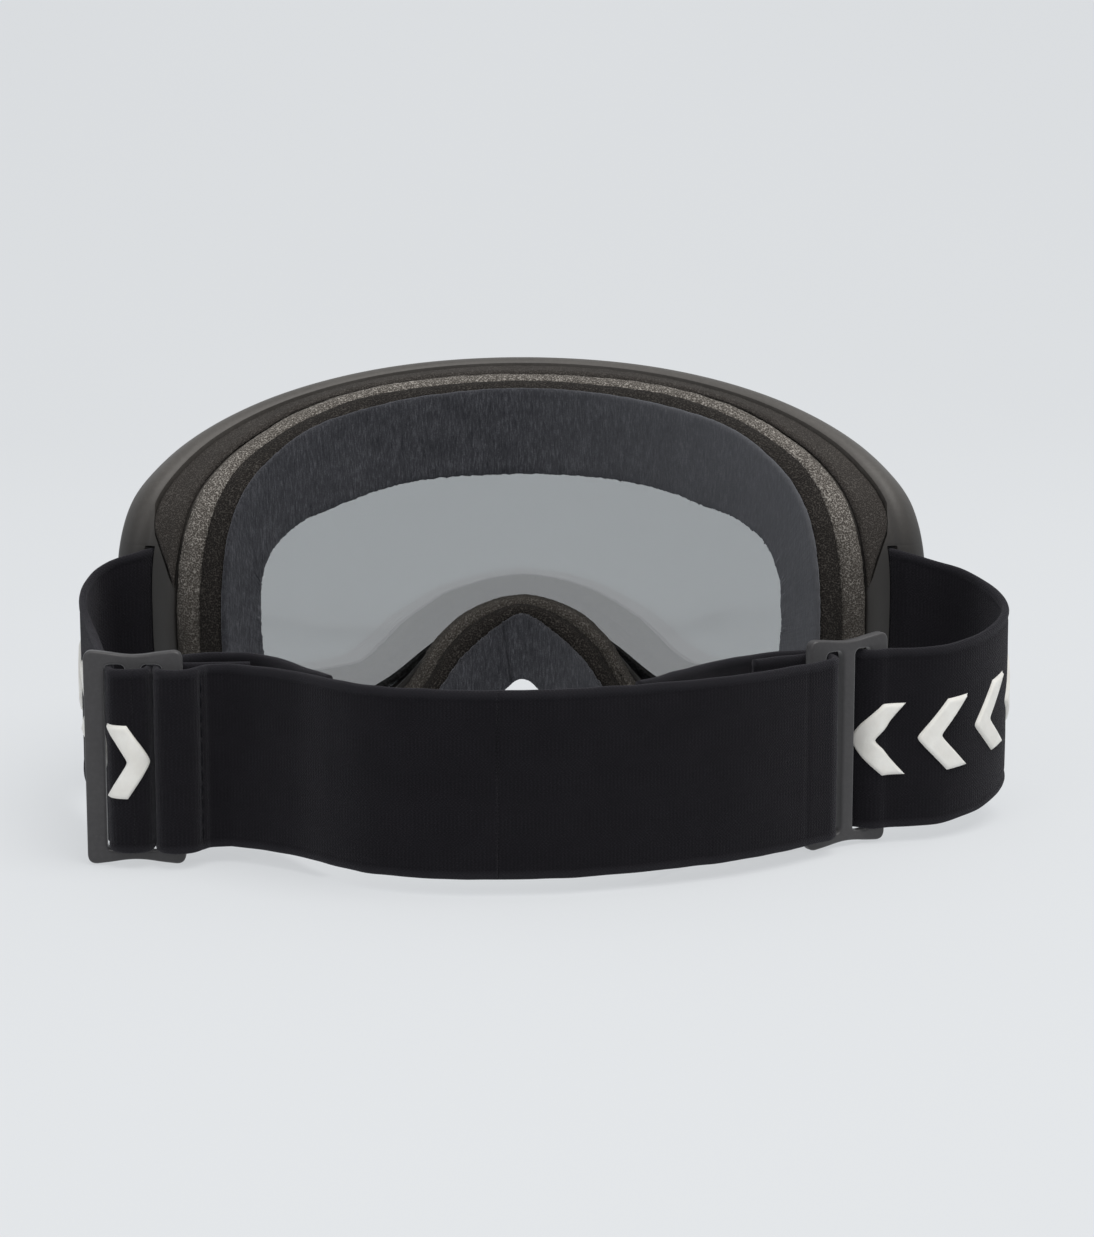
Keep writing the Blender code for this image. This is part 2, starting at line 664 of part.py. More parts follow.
def build_slider(name, at, turn, mat, collection, cutters):
    """Three-bar slider: thin plate, ends bowed out at the corners, two windows."""
    w = 0.5 * SLIDER_BAR + SLIDER_WINDOW + SLIDER_SIDE
    h = SLIDER_H / 2
    outline = rounded_outline(slider_ends(w, h), SLIDER_CORNER)
    ca, sa = math.cos(turn), math.sin(turn)

    def place(a, b, z):
        return world(at[0] + a * ca - b * sa, at[1] + a * sa + b * ca, z + h)

    t = SLIDER_T / 2
    rings = []
    edge = SLIDER_CHAMFER
    for b, less in ((-t, edge), (-t + edge, 0.0), (t - edge, 0.0), (t, edge)):
        k = (w - less) / w
        m = (h - less) / h
        rings.append([place(x * k, b, z * m) for x, z in outline])
    slider = arc_loft(name, rings, mat, collection)
    along = Vector((ca, sa, 0))
    depth = Vector((-sa, ca, 0))
    for number, side in enumerate((-1, 1)):
        mid = place(side * (SLIDER_BAR + SLIDER_WINDOW) / 2, 0, 0)
        cutter = box_on_frame("%s_window_%d" % (name, number), mid, (along, depth, Vector((0, 0, 1))),
                              (SLIDER_WINDOW, 8.0, SLIDER_WINDOW_H), cutters)
        cut(slider, cutter)
    return slider


def build_strap(mats, collection, cutters):
    left = side_strap("strap_left", 1, LEFT_SIDE, mats["strap"], collection)
    right = side_strap("strap_right", -1, right_side_path(), mats["strap"], collection)
    ribbon("strap_back", back_path(), mats["strap"], collection)
    build_slider("slider_left", SLIDER_L_AT, 0.0, mats["slider"], collection, cutters)
    build_slider("slider_right", SLIDER_R_AT, math.radians(SLIDER_R_TURN), mats["slider"], collection,
                 cutters)
    # The mark next to each slider lies on a tight bend, so it has more facets.
    for side, word, starts, stations in ((1, "left", MARKS_LEFT, left), (-1, "right", MARKS_RIGHT, right)):
        for number, start in enumerate(starts):
            shape = MARK_PLAIN
            if number == len(starts) - 1:
                shape = MARK_SMALL if side > 0 else MARK_BENT
            build_mark("mark_%s_%d" % (word, number + 1), stations, start, side, shape, mats["mark"],
                       collection)


def main():
    clear_scene()
    scene = bpy.context.scene
    scene.unit_settings.system = "METRIC"
    collection = bpy.data.collections.new(COLLECTION_NAME)
    scene.collection.children.link(collection)
    cutters = bpy.data.collections.new("cutters")
    scene.collection.children.link(cutters)
    cutters.hide_render = True
    mats = {
        "frame": make_material("frame_plastic", (0.060, 0.052, 0.046), 0.55),
        "lens": make_material("lens_grey", (0.32, 0.36, 0.37), 0.05, 0.0, 0.45),
        "gasket": make_material("gasket_foam", (0.02, 0.02, 0.02), 0.9),
        "vent_foam": make_material("vent_foam", (0.035, 0.030, 0.026), 0.95),
        "foam_light": make_material("foam_light", (0.14, 0.125, 0.11), 0.95),
        "foam_dark": make_material("foam_dark", (0.03, 0.026, 0.022), 0.95),
        "fleece": make_material("fleece", (0.05, 0.052, 0.062), 0.95),
        "strap": make_material("strap_webbing", (0.010, 0.010, 0.014), 0.9),
        "slider": make_material("slider_plastic", (0.055, 0.052, 0.052), 0.45),
        "mark": make_material("silicone_white", (0.82, 0.81, 0.77), 0.5),
    }
    build_frame(mats, collection, cutters)
    build_lenses(mats, collection)
    build_vent_foam(mats, collection)
    build_foam(mats, collection)
    build_strap(mats, collection, cutters)


main()
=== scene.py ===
import json
import math
import random

import bmesh
import bpy
import numpy as np
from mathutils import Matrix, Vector, noise

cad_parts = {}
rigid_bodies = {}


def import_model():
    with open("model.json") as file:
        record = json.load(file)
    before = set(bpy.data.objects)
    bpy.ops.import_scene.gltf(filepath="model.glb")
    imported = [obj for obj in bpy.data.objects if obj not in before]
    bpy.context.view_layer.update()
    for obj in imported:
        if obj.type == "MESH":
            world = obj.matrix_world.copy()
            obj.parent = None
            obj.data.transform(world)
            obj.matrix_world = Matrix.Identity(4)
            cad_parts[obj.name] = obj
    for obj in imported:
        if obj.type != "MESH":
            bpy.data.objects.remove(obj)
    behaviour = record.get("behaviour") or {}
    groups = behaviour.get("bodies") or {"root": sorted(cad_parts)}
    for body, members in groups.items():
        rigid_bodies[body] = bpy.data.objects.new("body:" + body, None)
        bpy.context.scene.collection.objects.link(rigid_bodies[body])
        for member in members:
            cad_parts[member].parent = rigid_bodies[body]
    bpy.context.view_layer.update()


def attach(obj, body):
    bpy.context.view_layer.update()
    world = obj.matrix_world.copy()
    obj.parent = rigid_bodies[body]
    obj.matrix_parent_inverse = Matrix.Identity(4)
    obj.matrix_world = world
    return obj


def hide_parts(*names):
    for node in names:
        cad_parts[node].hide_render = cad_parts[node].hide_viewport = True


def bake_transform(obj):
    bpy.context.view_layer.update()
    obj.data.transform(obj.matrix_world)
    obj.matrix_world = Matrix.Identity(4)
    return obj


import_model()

MM = 0.001
SHIFT_X = 4.8       # from the axis of the wrap to the origin
SHIFT_Y = 34.45
WRAP = 90.0         # radius at which widths along the wrap are measured
FINE = 480          # points round an outline

# Radii from the axis of the wrap, mm.
WALL_FRONT_R = 99.8         # sloping wall between rim and flange
WALL_BACK_R = 93.6
FLANGE_R = 92.2
LENS_R = (106.5, 108.2)
PANE_R = (102.1, 103.0)
GASKET_R = (103.3, 106.2)
LIGHT_FOAM_R = (86.2, 91.9)
LENS_MARGIN = 4.6           # lens edges, inside the rim outline
PANE_MARGIN = 7.3
VENT_R = 96.6
VENT_BOX = (15.0, 3.2, 11.0)
VENTS_AT = (-74, -44, -15, 15, 44, 74)      # windows, in outline points from the top
VENT_COUNT = 1408
VENT_HALF = 286.0           # half length of the vent foam, in points of VENT_COUNT

# Half outlines from the top centre to the nose: (width along the wrap, height), mm.
RIM = (
    (0, 93.3), (20, 92.4), (38, 89.8), (55, 85.5), (70, 79.6), (81, 72.9),
    (88.5, 65.5), (92.6, 54.5), (93.2, 41), (92.2, 27), (87, 13.5),
    (73, 3.4), (54, -0.45), (38, 1.7), (25, 7.7), (12.5, 18), (0, 24),
)
FOAM_OUTER = (
    (0, 90.6), (20, 90.0), (38, 87.9), (53, 84.4), (65.5, 79.4), (76.5, 73.5),
    (85.2, 65.6), (90.2, 54.5), (91.9, 40.5), (90.4, 26.5), (84.2, 14.5),
    (71, 6.8), (54, 3.6), (37, 4.6), (22.5, 8), (10, 13.2), (0, 19.6),
)
FOAM_MIDDLE = (
    (0, 90.2), (21, 89.3), (40, 87.2), (55, 83.3), (67, 78.6), (77, 73.3),
    (84.7, 64.9), (89.2, 54.0), (90.8, 39.5), (89.6, 26.0), (83.6, 14.5),
    (70.8, 7.0), (54, 3.9), (37, 4.8), (22, 8.2), (9.7, 13.3), (0, 19.6),
)
FLEECE_OUTER = (
    (0, 88.7), (24.2, 87.4), (43, 84.8), (58.3, 81.5), (70.5, 76.1), (79.8, 70.0),
    (86.3, 61.8), (89.6, 50.5), (90.4, 38), (88.8, 26.2), (82.6, 15.2),
    (69.8, 8.4), (54, 5.2), (37, 5.8), (21.6, 8.8), (9, 13.6), (0, 19.6),
)
FLANGE_INNER = (
    (0, 72.5), (19, 72.1), (36, 70.2), (50, 67), (61, 62.8), (70, 57.5),
    (76, 50.5), (79, 42), (79.6, 34), (77.5, 26), (71, 18.5),
    (59, 14.2), (44, 12.9), (31.5, 14.4), (19.6, 26.2), (10.4, 33.4), (0, 35.9),
)
LIGHT_INNER = (
    (0, 71.2), (19, 70.8), (36, 68.9), (49.5, 65.8), (60.4, 61.8), (69, 56.5),
    (75, 49.8), (78.2, 42), (78.8, 34), (76.6, 26), (70.3, 18.8),
    (58.5, 14.6), (42.5, 13), (29.4, 15.2), (20.9, 27.0), (12.2, 34.4), (0, 37.7),
)
DARK_INNER = (
    (0, 70.9), (19, 70.5), (36, 68.6), (49.5, 65.4), (60.4, 61.2), (68.8, 55.8),
    (74.6, 49.2), (77.5, 42), (78, 34), (75.8, 26), (69.5, 19),
    (58, 14.8), (41.5, 13.2), (27.4, 15.4), (18.8, 26.4), (10.2, 33.2), (0, 36.6),
)
FLEECE_INNER = (
    (0, 68.6), (19, 68.2), (36, 66.4), (49.5, 63.4), (61.6, 60.4), (70.8, 55.6),
    (75.4, 48.8), (76.2, 41.5), (76.1, 34.3), (73.8, 26), (67.5, 19.2),
    (56.5, 15.2), (40, 13.6), (25.2, 15.6), (16.3, 24.7), (7.6, 31.6), (0, 35.2),
)

# Webbing: size and plan paths (x, y, lower edge height), mm.
STRAP_W = 39.2
STRAP_Z = 3.35
STEP = 0.8                  # spacing of the stations along a strap
SLOT_Z = 16.2
SLOT_R = 99.6
SLOT_U = 90.6
SLOT_DEPTH = 2.0
SLIDER_H = 46.0
SLIDER_BAR = 3.2
SLIDER_SIDE = 4.2
SLIDER_WINDOW = 4.5
SLIDER_WINDOW_H = 39.8
SLIDER_T = 2.4
SLIDER_L_AT = (80.1, 15.0)
SLIDER_R_AT = (-69.5, -0.05)
SLIDER_R_TURN = math.radians(33.0)
MARK_H = 15.6
MARK_STROKE = 5.6
MARK_LEAN = 7.4
MARKS_LEFT = (22.4, 37.0, 51.7, 66.4, 83.7)
MARKS_RIGHT = (18.6, 33.9, 49.2, 64.5, 79.8)
MARK_ON_FOLD = (4.6, 4.4)   # lean and stroke of the mark on the narrow fold
LEFT_MAIN = (
    (85.1, -51.8, 16.2), (87.0, -50.2, 15.8), (90.0, -49.9, 15.0), (93.2, -49.2, 13.8),
    (96.2, -45.2, 12.0), (97.3, -38.0, 9.8), (96.3, -29.0, 7.6), (93.2, -18.0, 5.4),
    (90.1, -6.0, 4.0), (88.0, 3.2, 3.5), (86.3, 9.2, STRAP_Z), (85.1, 13.4, STRAP_Z),
    (85.05, 15.6, STRAP_Z), (84.0, 18.1, STRAP_Z), (81.5, 19.1, STRAP_Z),
    (78.9, 18.8, STRAP_Z), (77.3, 17.2, STRAP_Z), (76.9, 14.8, STRAP_Z),
    (76.7, 12.6, STRAP_Z), (75.2, 9.2, STRAP_Z), (71.8, 5.0, STRAP_Z),
    (66.4, 1.8, STRAP_Z), (60.0, 1.6, STRAP_Z), (54.6, 3.7, STRAP_Z),
    (50.4, 7.6, STRAP_Z), (47.0, 12.6, STRAP_Z), (43.0, 19.0, STRAP_Z),
    (38.6, 24.6, STRAP_Z),
)
RIGHT_MAIN = (
    (-85.1, -51.8, 16.2), (-87.0, -50.2, 15.8), (-90.2, -49.9, 15.0), (-94.6, -49.6, 13.8),
    (-99.2, -47.4, 12.6), (-103.4, -42.8, 11.0), (-106.2, -35.6, 9.4), (-106.9, -28.6, 7.8),
    (-105.2, -22.4, 6.4), (-101.2, -15.4, 5.0), (-95.2, -8.8, 3.9), (-88.4, -4.6, 3.4),
)
RIGHT_TAIL = (
    (-60.0, -0.9), (-55.4, 0.6), (-50.6, 2.9), (-45.8, 6.6), (-39.6, 12.4),
    (-33.6, 19.6), (-28.4, 26.2), (-24.4, 30.6),
)
# Paths through the sliders, from the slider's own centre (along it, behind it).
RIGHT_PASS = (
    (9.4, 3.2), (6.6, 2.9), (4.7, 1.5), (3.1, -1.5), (0.0, -2.7), (-2.4, -3.6), (-5.4, -5.4),
)
LOOP_LOCAL = (
    (-24.0, -3.6), (-19.6, -3.3), (-15.1, -3.1), (-11.6, -2.7), (-8.9, -2.6),
    (-6.9, -2.75), (-5.5, -2.1), (-5.0, -0.7), (-5.0, 1.5), (-5.7, 3.4), (-7.2, 4.6),
    (-9.4, 4.9), (-11.9, 3.8), (-13.8, 1.3), (-15.4, -0.8), (-18.6, -1.4),
)
LOOP_LOCAL_RIGHT = (
    (-22.0, -3.4), (-17.5, -3.0), (-13.0, -2.7), (-9.2, -2.6), (-6.9, -2.75),
    (-5.5, -2.1), (-5.0, -0.7), (-5.0, 1.5), (-5.7, 3.4), (-7.4, 4.8), (-9.8, 5.4),
)
BACK_MIDDLE = (
    (60.0, 13.6), (54.0, 16.0), (45.3, 21.6), (38.0, 28.6), (30.5, 34.2),
    (22.0, 37.6), (12.0, 39.4), (1.5, 39.4), (-9.5, 38.2), (-24.9, 33.7),
    (-41.5, 26.6), (-52.5, 19.6),
)


# ------------------------------------------------------------------ geometry
def world(x, y, z):
    """Frame position in metres of a point given in mm from the wrap's axis."""
    return Vector(((x + SHIFT_X) * MM, (y + SHIFT_Y) * MM, z * MM))


def wrapped(u, z, r):
    """Point on the wrap: u along the arc, height z, radius r."""
    a = u / WRAP
    return world(r * math.sin(a), -r * math.cos(a), z)


def spline(points, t, closed=False):
    """Catmull-Rom through points at parameter t, counted in spans."""
    n = len(points)
    i = int(math.floor(t))
    if not closed:
        i = max(0, min(n - 2, i))
    f = t - i

    def at(k):
        if closed:
            return points[k % n]
        if k < 0:
            return tuple(2 * a - b for a, b in zip(points[0], points[1]))
        if k > n - 1:
            return tuple(2 * a - b for a, b in zip(points[-1], points[-2]))
        return points[k]

    out = []
    for a, b, c, d in zip(at(i - 1), at(i), at(i + 1), at(i + 2)):
        out.append(0.5 * (2 * b + (c - a) * f + (2 * a - 5 * b + 4 * c - d) * f * f
                          + (3 * b - a - 3 * c + d) * f ** 3))
    return tuple(out)


def outline_of(half, count=FINE):
    """Closed outline, clockwise from the top centre, from a half outline."""
    pts = list(half) + [(-u, z) for u, z in reversed(half[1:-1])]
    return [spline(pts, len(pts) * k / count, closed=True) for k in range(count)]


def inset(outline, r, amount):
    """Outline moved inward at radius r, by one amount or by one for each point."""
    n = len(outline)
    k = r / WRAP
    out = []
    for i in range(n):
        u0, z0 = outline[i - 1]
        u1, z1 = outline[(i + 1) % n]
        tu, tz = (u1 - u0) * k, z1 - z0
        length = math.hypot(tu, tz)
        d = amount[i] if isinstance(amount, list) else amount
        out.append((outline[i][0] + tz / length * d / k, outline[i][1] - tu / length * d))
    return out


def between(a, b, f):
    return [(p[0] + (q[0] - p[0]) * f, p[1] + (q[1] - p[1]) * f) for p, q in zip(a, b)]


def new_mesh(name, verts, faces, mat, sharp=40.0):
    mesh = bpy.data.meshes.new(name)
    mesh.from_pydata([tuple(v) for v in verts], [], faces)
    bm = bmesh.new()
    bm.from_mesh(mesh)
    bmesh.ops.recalc_face_normals(bm, faces=bm.faces)
    bm.to_mesh(mesh)
    bm.free()
    mesh.update()
    obj = bpy.data.objects.new(name, mesh)
    bpy.context.scene.collection.objects.link(obj)
    mesh.materials.append(mat)
    mesh.shade_smooth()
    if sharp:
        mesh.set_sharp_from_angle(angle=math.radians(sharp))
    return obj


def ring_faces(s, m, closed=True):
    faces = []
    for i in range(s if closed else s - 1):
        j = (i + 1) % s
        for k in range(m):
            l = (k + 1) % m
            faces.append((i * m + k, i * m + l, j * m + l, j * m + k))
    return faces


def tube_faces(s, m, base=0):
    """Faces of a tube of s rings of m points, with both ends closed."""
    faces = ring_faces(s, m, closed=False)
    faces += [tuple(range(m)), tuple((s - 1) * m + k for k in range(m))]
    return [tuple(base + v for v in face) for face in faces]


def slab_faces(rows, cols):
    """Faces of a slab whose two sides are equal grids of points, one after the other."""
    m = cols + 1
    n = (rows + 1) * m
    faces = []
    for i in range(rows):
        for j in range(cols):
            a = i * m + j
            faces.append((a, a + 1, a + m + 1, a + m))
            faces.append((n + a + m, n + a + m + 1, n + a + 1, n + a))
    edge = list(range(m)) + [i * m + cols for i in range(1, rows + 1)]
    edge += [rows * m + j for j in range(cols - 1, -1, -1)] + [i * m for i in range(rows - 1, 0, -1)]
    for a, b in zip(edge, edge[1:] + edge[:1]):
        faces.append((a, b, n + b, n + a))
    return faces


def ring_loft(name, rings, mat, sharp=40.0):
    """Closed hoop; rings are (radius, outline), listed round its section."""
    verts = [wrapped(u, z, r) for r, line in rings for u, z in line]
    return new_mesh(name, verts, ring_faces(len(rings), len(rings[0][1])), mat, sharp)


def tube_loft(name, rings, mat, sharp=40.0):
    """Body with two ends; rings are lists of points, all of one length."""
    faces = tube_faces(len(rings), len(rings[0]))
    return new_mesh(name, [p for ring in rings for p in ring], faces, mat, sharp)


def roughen(obj, coarse, coarse_size, grain, seed):
    """Moves the surface in and out: soft unevenness plus a random grain."""
    rnd = random.Random(seed)
    mesh = obj.data
    normals = [v.normal.copy() for v in mesh.vertices]
    for v, n in zip(mesh.vertices, normals):
        soft = noise.noise(v.co / (coarse_size * MM))
        v.co += n * ((soft * coarse + rnd.uniform(-grain, grain)) * MM)
    mesh.update()


def resample(points, step):
    """Even stations along a smooth path: (position, tangent in plan, distance)."""
    fine = [spline(points, i / 24.0) for i in range((len(points) - 1) * 24 + 1)]
    dist = [0.0]
    for a, b in zip(fine, fine[1:]):
        dist.append(dist[-1] + math.hypot(b[0] - a[0], b[1] - a[1]))
    total = dist[-1]
    count = max(2, int(round(total / step)))
    out = []
    j = 0
    for i in range(count + 1):
        s = total * i / count
        while j < len(dist) - 2 and dist[j + 1] < s:
            j += 1
        f = (s - dist[j]) / max(1e-9, dist[j + 1] - dist[j])
        out.append((tuple(p + (q - p) * f for p, q in zip(fine[j], fine[j + 1])), s))
    res = []
    for i, (pos, s) in enumerate(out):
        a = out[max(0, i - 1)][0]
        b = out[min(len(out) - 1, i + 1)][0]
        length = math.hypot(b[0] - a[0], b[1] - a[1])
        res.append((pos, ((b[0] - a[0]) / length, (b[1] - a[1]) / length), s))
    return res


def box_cutter(centre, axes, size):
    verts = []
    for sx in (-0.5, 0.5):
        for sy in (-0.5, 0.5):
            for sz in (-0.5, 0.5):
                p = Vector(centre)
                for axis, length, s in zip(axes, size, (sx, sy, sz)):
                    p = p + Vector(axis) * (length * s * MM)
                verts.append(p)
    faces = [(0, 1, 3, 2), (4, 6, 7, 5), (0, 4, 5, 1), (2, 3, 7, 6), (0, 2, 6, 4), (1, 5, 7, 3)]
    return new_mesh("cutter", verts, faces, MAT["frame"], 0)


def carve(obj, cutters):
    """Cuts the bodies out of obj for good and removes them."""
    for cutter in cutters:
        mod = obj.modifiers.new("cut", "BOOLEAN")
        mod.operation = "DIFFERENCE"
        mod.solver = "EXACT"
        mod.object = cutter
    bpy.context.view_layer.update()
    deps = bpy.context.evaluated_depsgraph_get()
    mesh = bpy.data.meshes.new_from_object(obj.evaluated_get(deps))
    obj.modifiers.clear()
    obj.data = mesh
    for cutter in cutters:
        bpy.data.objects.remove(cutter, do_unlink=True)


# ----------------------------------------------------------------- materials
class Nodes:
    """Short way of writing a node tree round one Principled shader."""

    def __init__(self, name):
        self.mat = bpy.data.materials.new(name)
        self.mat.use_nodes = True
        self.tree = self.mat.node_tree
        self.shader = self.tree.nodes["Principled BSDF"]

    def add(self, kind, inputs=None, **props):
        node = self.tree.nodes.new(kind)
        for key, value in props.items():
            setattr(node, key, value)
        for key, value in (inputs or {}).items():
            if isinstance(value, bpy.types.NodeSocket):
                self.tree.links.new(value, node.inputs[key])
            else:
                node.inputs[key].default_value = value
        return node

    def place(self, scale, stretch=(1, 1, 1), coord="Object"):
        tc = self.add("ShaderNodeTexCoord")
        m = self.add("ShaderNodeMapping", {"Vector": tc.outputs[coord],
                                           "Scale": tuple(scale * s for s in stretch)})
        return m.outputs["Vector"]

    def noise(self, vector, scale, detail=3.0, rough=0.55, distortion=0.0):
        return self.add("ShaderNodeTexNoise", {
            "Vector": vector, "Scale": scale, "Detail": detail, "Roughness": rough,
            "Distortion": distortion}).outputs["Fac"]

    def cells(self, vector, scale, feature="F1"):
        return self.add("ShaderNodeTexVoronoi", {"Vector": vector, "Scale": scale},
                        feature=feature).outputs["Distance"]

    def bands(self, vector, scale, direction, distortion=0.0):
        return self.add("ShaderNodeTexWave", {
            "Vector": vector, "Scale": scale, "Distortion": distortion, "Detail": 1.0},
            bands_direction=direction).outputs["Fac"]

    def ramp(self, fac, *stops):
        node = self.add("ShaderNodeValToRGB", {"Fac": fac})
        ramp = node.color_ramp
        while len(ramp.elements) < len(stops):
            ramp.elements.new(0.5)
        for e, (p, c) in zip(ramp.elements, stops):
            e.position = p
            e.color = (*c, 1.0) if hasattr(c, "__len__") else (c, c, c, 1.0)
        return node.outputs["Color"]

    def math(self, op, a, b=0.0, c=None):
        node = self.add("ShaderNodeMath", operation=op)
        for i, value in enumerate((a, b) if c is None else (a, b, c)):
            if isinstance(value, bpy.types.NodeSocket):
                self.tree.links.new(value, node.inputs[i])
            else:
                node.inputs[i].default_value = value
        return node.outputs[0]

    def mix(self, fac, a, b, blend="MIX"):
        node = self.add("ShaderNodeMix", data_type="RGBA", blend_type=blend)
        for key, value in ((0, fac), (6, a), (7, b)):
            if isinstance(value, bpy.types.NodeSocket):
                self.tree.links.new(value, node.inputs[key])
            else:
                node.inputs[key].default_value = value if key == 0 else (*value, 1.0)
        return node.outputs[2]

    def link(self, out, key):
        self.tree.links.new(out, self.shader.inputs[key])

    def bump(self, height, strength, distance, normal=None):
        inputs = {"Height": height, "Strength": strength, "Distance": distance}
        if normal is not None:
            inputs["Normal"] = normal
        return self.add("ShaderNodeBump", inputs).outputs["Normal"]

    def set(self, **values):
        for key, value in values.items():
            name = key.replace("_", " ")
            for socket in self.shader.inputs:
                if socket.name.lower() == name.lower():
                    socket.default_value = value


def plastic(name, dark, light, rough, texture, line=None):
    """Moulded plastic: spark-eroded grain, faint mottling and polished patches; given a seam height,
    also a darkened seam line there and painted shade that darkens the plastic towards the bottom.
    """
    n = Nodes(name)
    at = n.place(1.0)
    big = n.noise(at, 45.0, 3.0)
    grain = n.noise(at, texture, 2.0, 0.6)
    fine = n.cells(at, texture * 1.7)
    colour = n.ramp(big, (0.3, dark), (0.72, light))
    colour = n.mix(n.ramp(grain, (0.42, 0.0), (0.75, 0.35)), colour,
                   tuple(min(1.0, c * 1.35) for c in light))
    height = n.math("ADD", n.math("MULTIPLY", grain, 0.7), n.math("MULTIPLY", fine, 0.5))
    if line is not None:
        z = n.add("ShaderNodeSeparateXYZ", {"Vector": at}).outputs["Z"]
        seam = n.math("ABSOLUTE", n.math("SUBTRACT", z, line))
        seam = n.ramp(n.math("MULTIPLY", seam, 2500.0), (0.0, 1.0), (0.9, 0.0))
        colour = n.mix(n.math("MULTIPLY", seam, 0.35), colour, tuple(c * 0.45 for c in dark))
        height = n.math("SUBTRACT", height, n.math("MULTIPLY", seam, 1.2))
        # Painted shade: below about 72 mm the plastic is mixed darker, in full below 54 mm.
        low = n.ramp(n.math("MULTIPLY", z, 10.0), (0.54, 1.0), (0.72, 0.0))
        colour = n.mix(n.math("MULTIPLY", low, 0.95), colour, tuple(c * 0.30 for c in dark))
    n.link(colour, "Base Color")
    n.link(n.ramp(big, (0.25, rough - 0.06), (0.8, rough + 0.06)), "Roughness")
    n.link(n.bump(height, 0.22, 0.00012), "Normal")
    n.set(specular_ior_level=0.42)
    return n.mat


def foam(name, deep, body, speck, pore, specks, strength, shade=0.0):
    """Open-cell foam: pits between struts, with some struts catching the light."""
    n = Nodes(name)
    at = n.place(1.0)
    wob = n.noise(at, pore * 0.5, 2.0)
    pits = n.cells(at, pore)
    fine = n.noise(at, pore * 2.2, 2.0, 0.7)
    tone = n.math("ADD", n.math("MULTIPLY", pits, 0.75), n.math("MULTIPLY", fine, 0.45))
    colour = n.ramp(tone, (0.28, deep), (0.62, body), (0.95, speck))
    spots = n.ramp(n.noise(at, pore * 1.35, 1.0, 0.5), (specks, 0.0), (specks + 0.07, 1.0))
    colour = n.mix(n.math("MULTIPLY", spots, 0.75), colour, speck)
    patch = n.noise(at, 60.0, 2.0)
    colour = n.mix(n.ramp(patch, (0.35, 0.0), (0.7, 0.3)), colour, deep)
    if shade:
        z = n.add("ShaderNodeSeparateXYZ", {"Vector": at}).outputs["Z"]
        low = n.ramp(n.math("MULTIPLY", z, 10.0), (0.40, shade), (0.62, 0.0))
        colour = n.mix(low, colour, deep)
    n.link(colour, "Base Color")
    height = n.math("ADD", tone, n.math("MULTIPLY", wob, 0.8))
    n.link(n.bump(height, strength, 0.00035), "Normal")
    n.set(roughness=0.95, specular_ior_level=0.18)
    return n.mat


def fleece_material():
    """Brushed fleece: short fibres lying up and down, with soft mottling, and painted light that makes
    it lighter towards minus x.
    """
    n = Nodes("brushed_fleece")
    long = n.place(1.0, (1.0, 1.0, 0.16))
    even = n.place(1.0)
    fibre = n.noise(long, 3200.0, 3.0, 0.66)
    strand = n.noise(long, 1500.0, 2.0, 0.55, 0.4)
    soft = n.noise(even, 160.0, 4.0, 0.6)
    fuzz = n.noise(even, 4200.0, 2.0, 0.6)
    tone = n.math("ADD", n.math("MULTIPLY", fibre, 0.6), n.math("MULTIPLY", strand, 0.22))
    tone = n.math("ADD", tone, n.math("MULTIPLY", soft, 0.22))
    tone = n.math("ADD", tone, n.math("MULTIPLY", n.math("SUBTRACT", fuzz, 0.5), 0.35))
    # Painted light: towards minus x the fleece is mixed lighter.
    side = n.add("ShaderNodeSeparateXYZ", {"Vector": even}).outputs["X"]
    side = n.ramp(n.math("MULTIPLY_ADD", side, -6.0, 0.5), (0.45, 0.0), (1.0, 0.8))
    colour = n.ramp(tone, (0.34, (0.016, 0.0165, 0.0195)), (0.54, (0.039, 0.0395, 0.0445)),
                    (0.78, (0.104, 0.105, 0.116)))
    colour = n.mix(side, colour, (0.110, 0.112, 0.120))
    n.link(colour, "Base Color")
    n.link(n.bump(tone, 0.6, 0.0003), "Normal")
    n.set(roughness=1.0, specular_ior_level=0.08, sheen_weight=0.2, sheen_roughness=0.5,
          sheen_tint=(0.85, 0.87, 0.95, 1.0))
    return n.mat


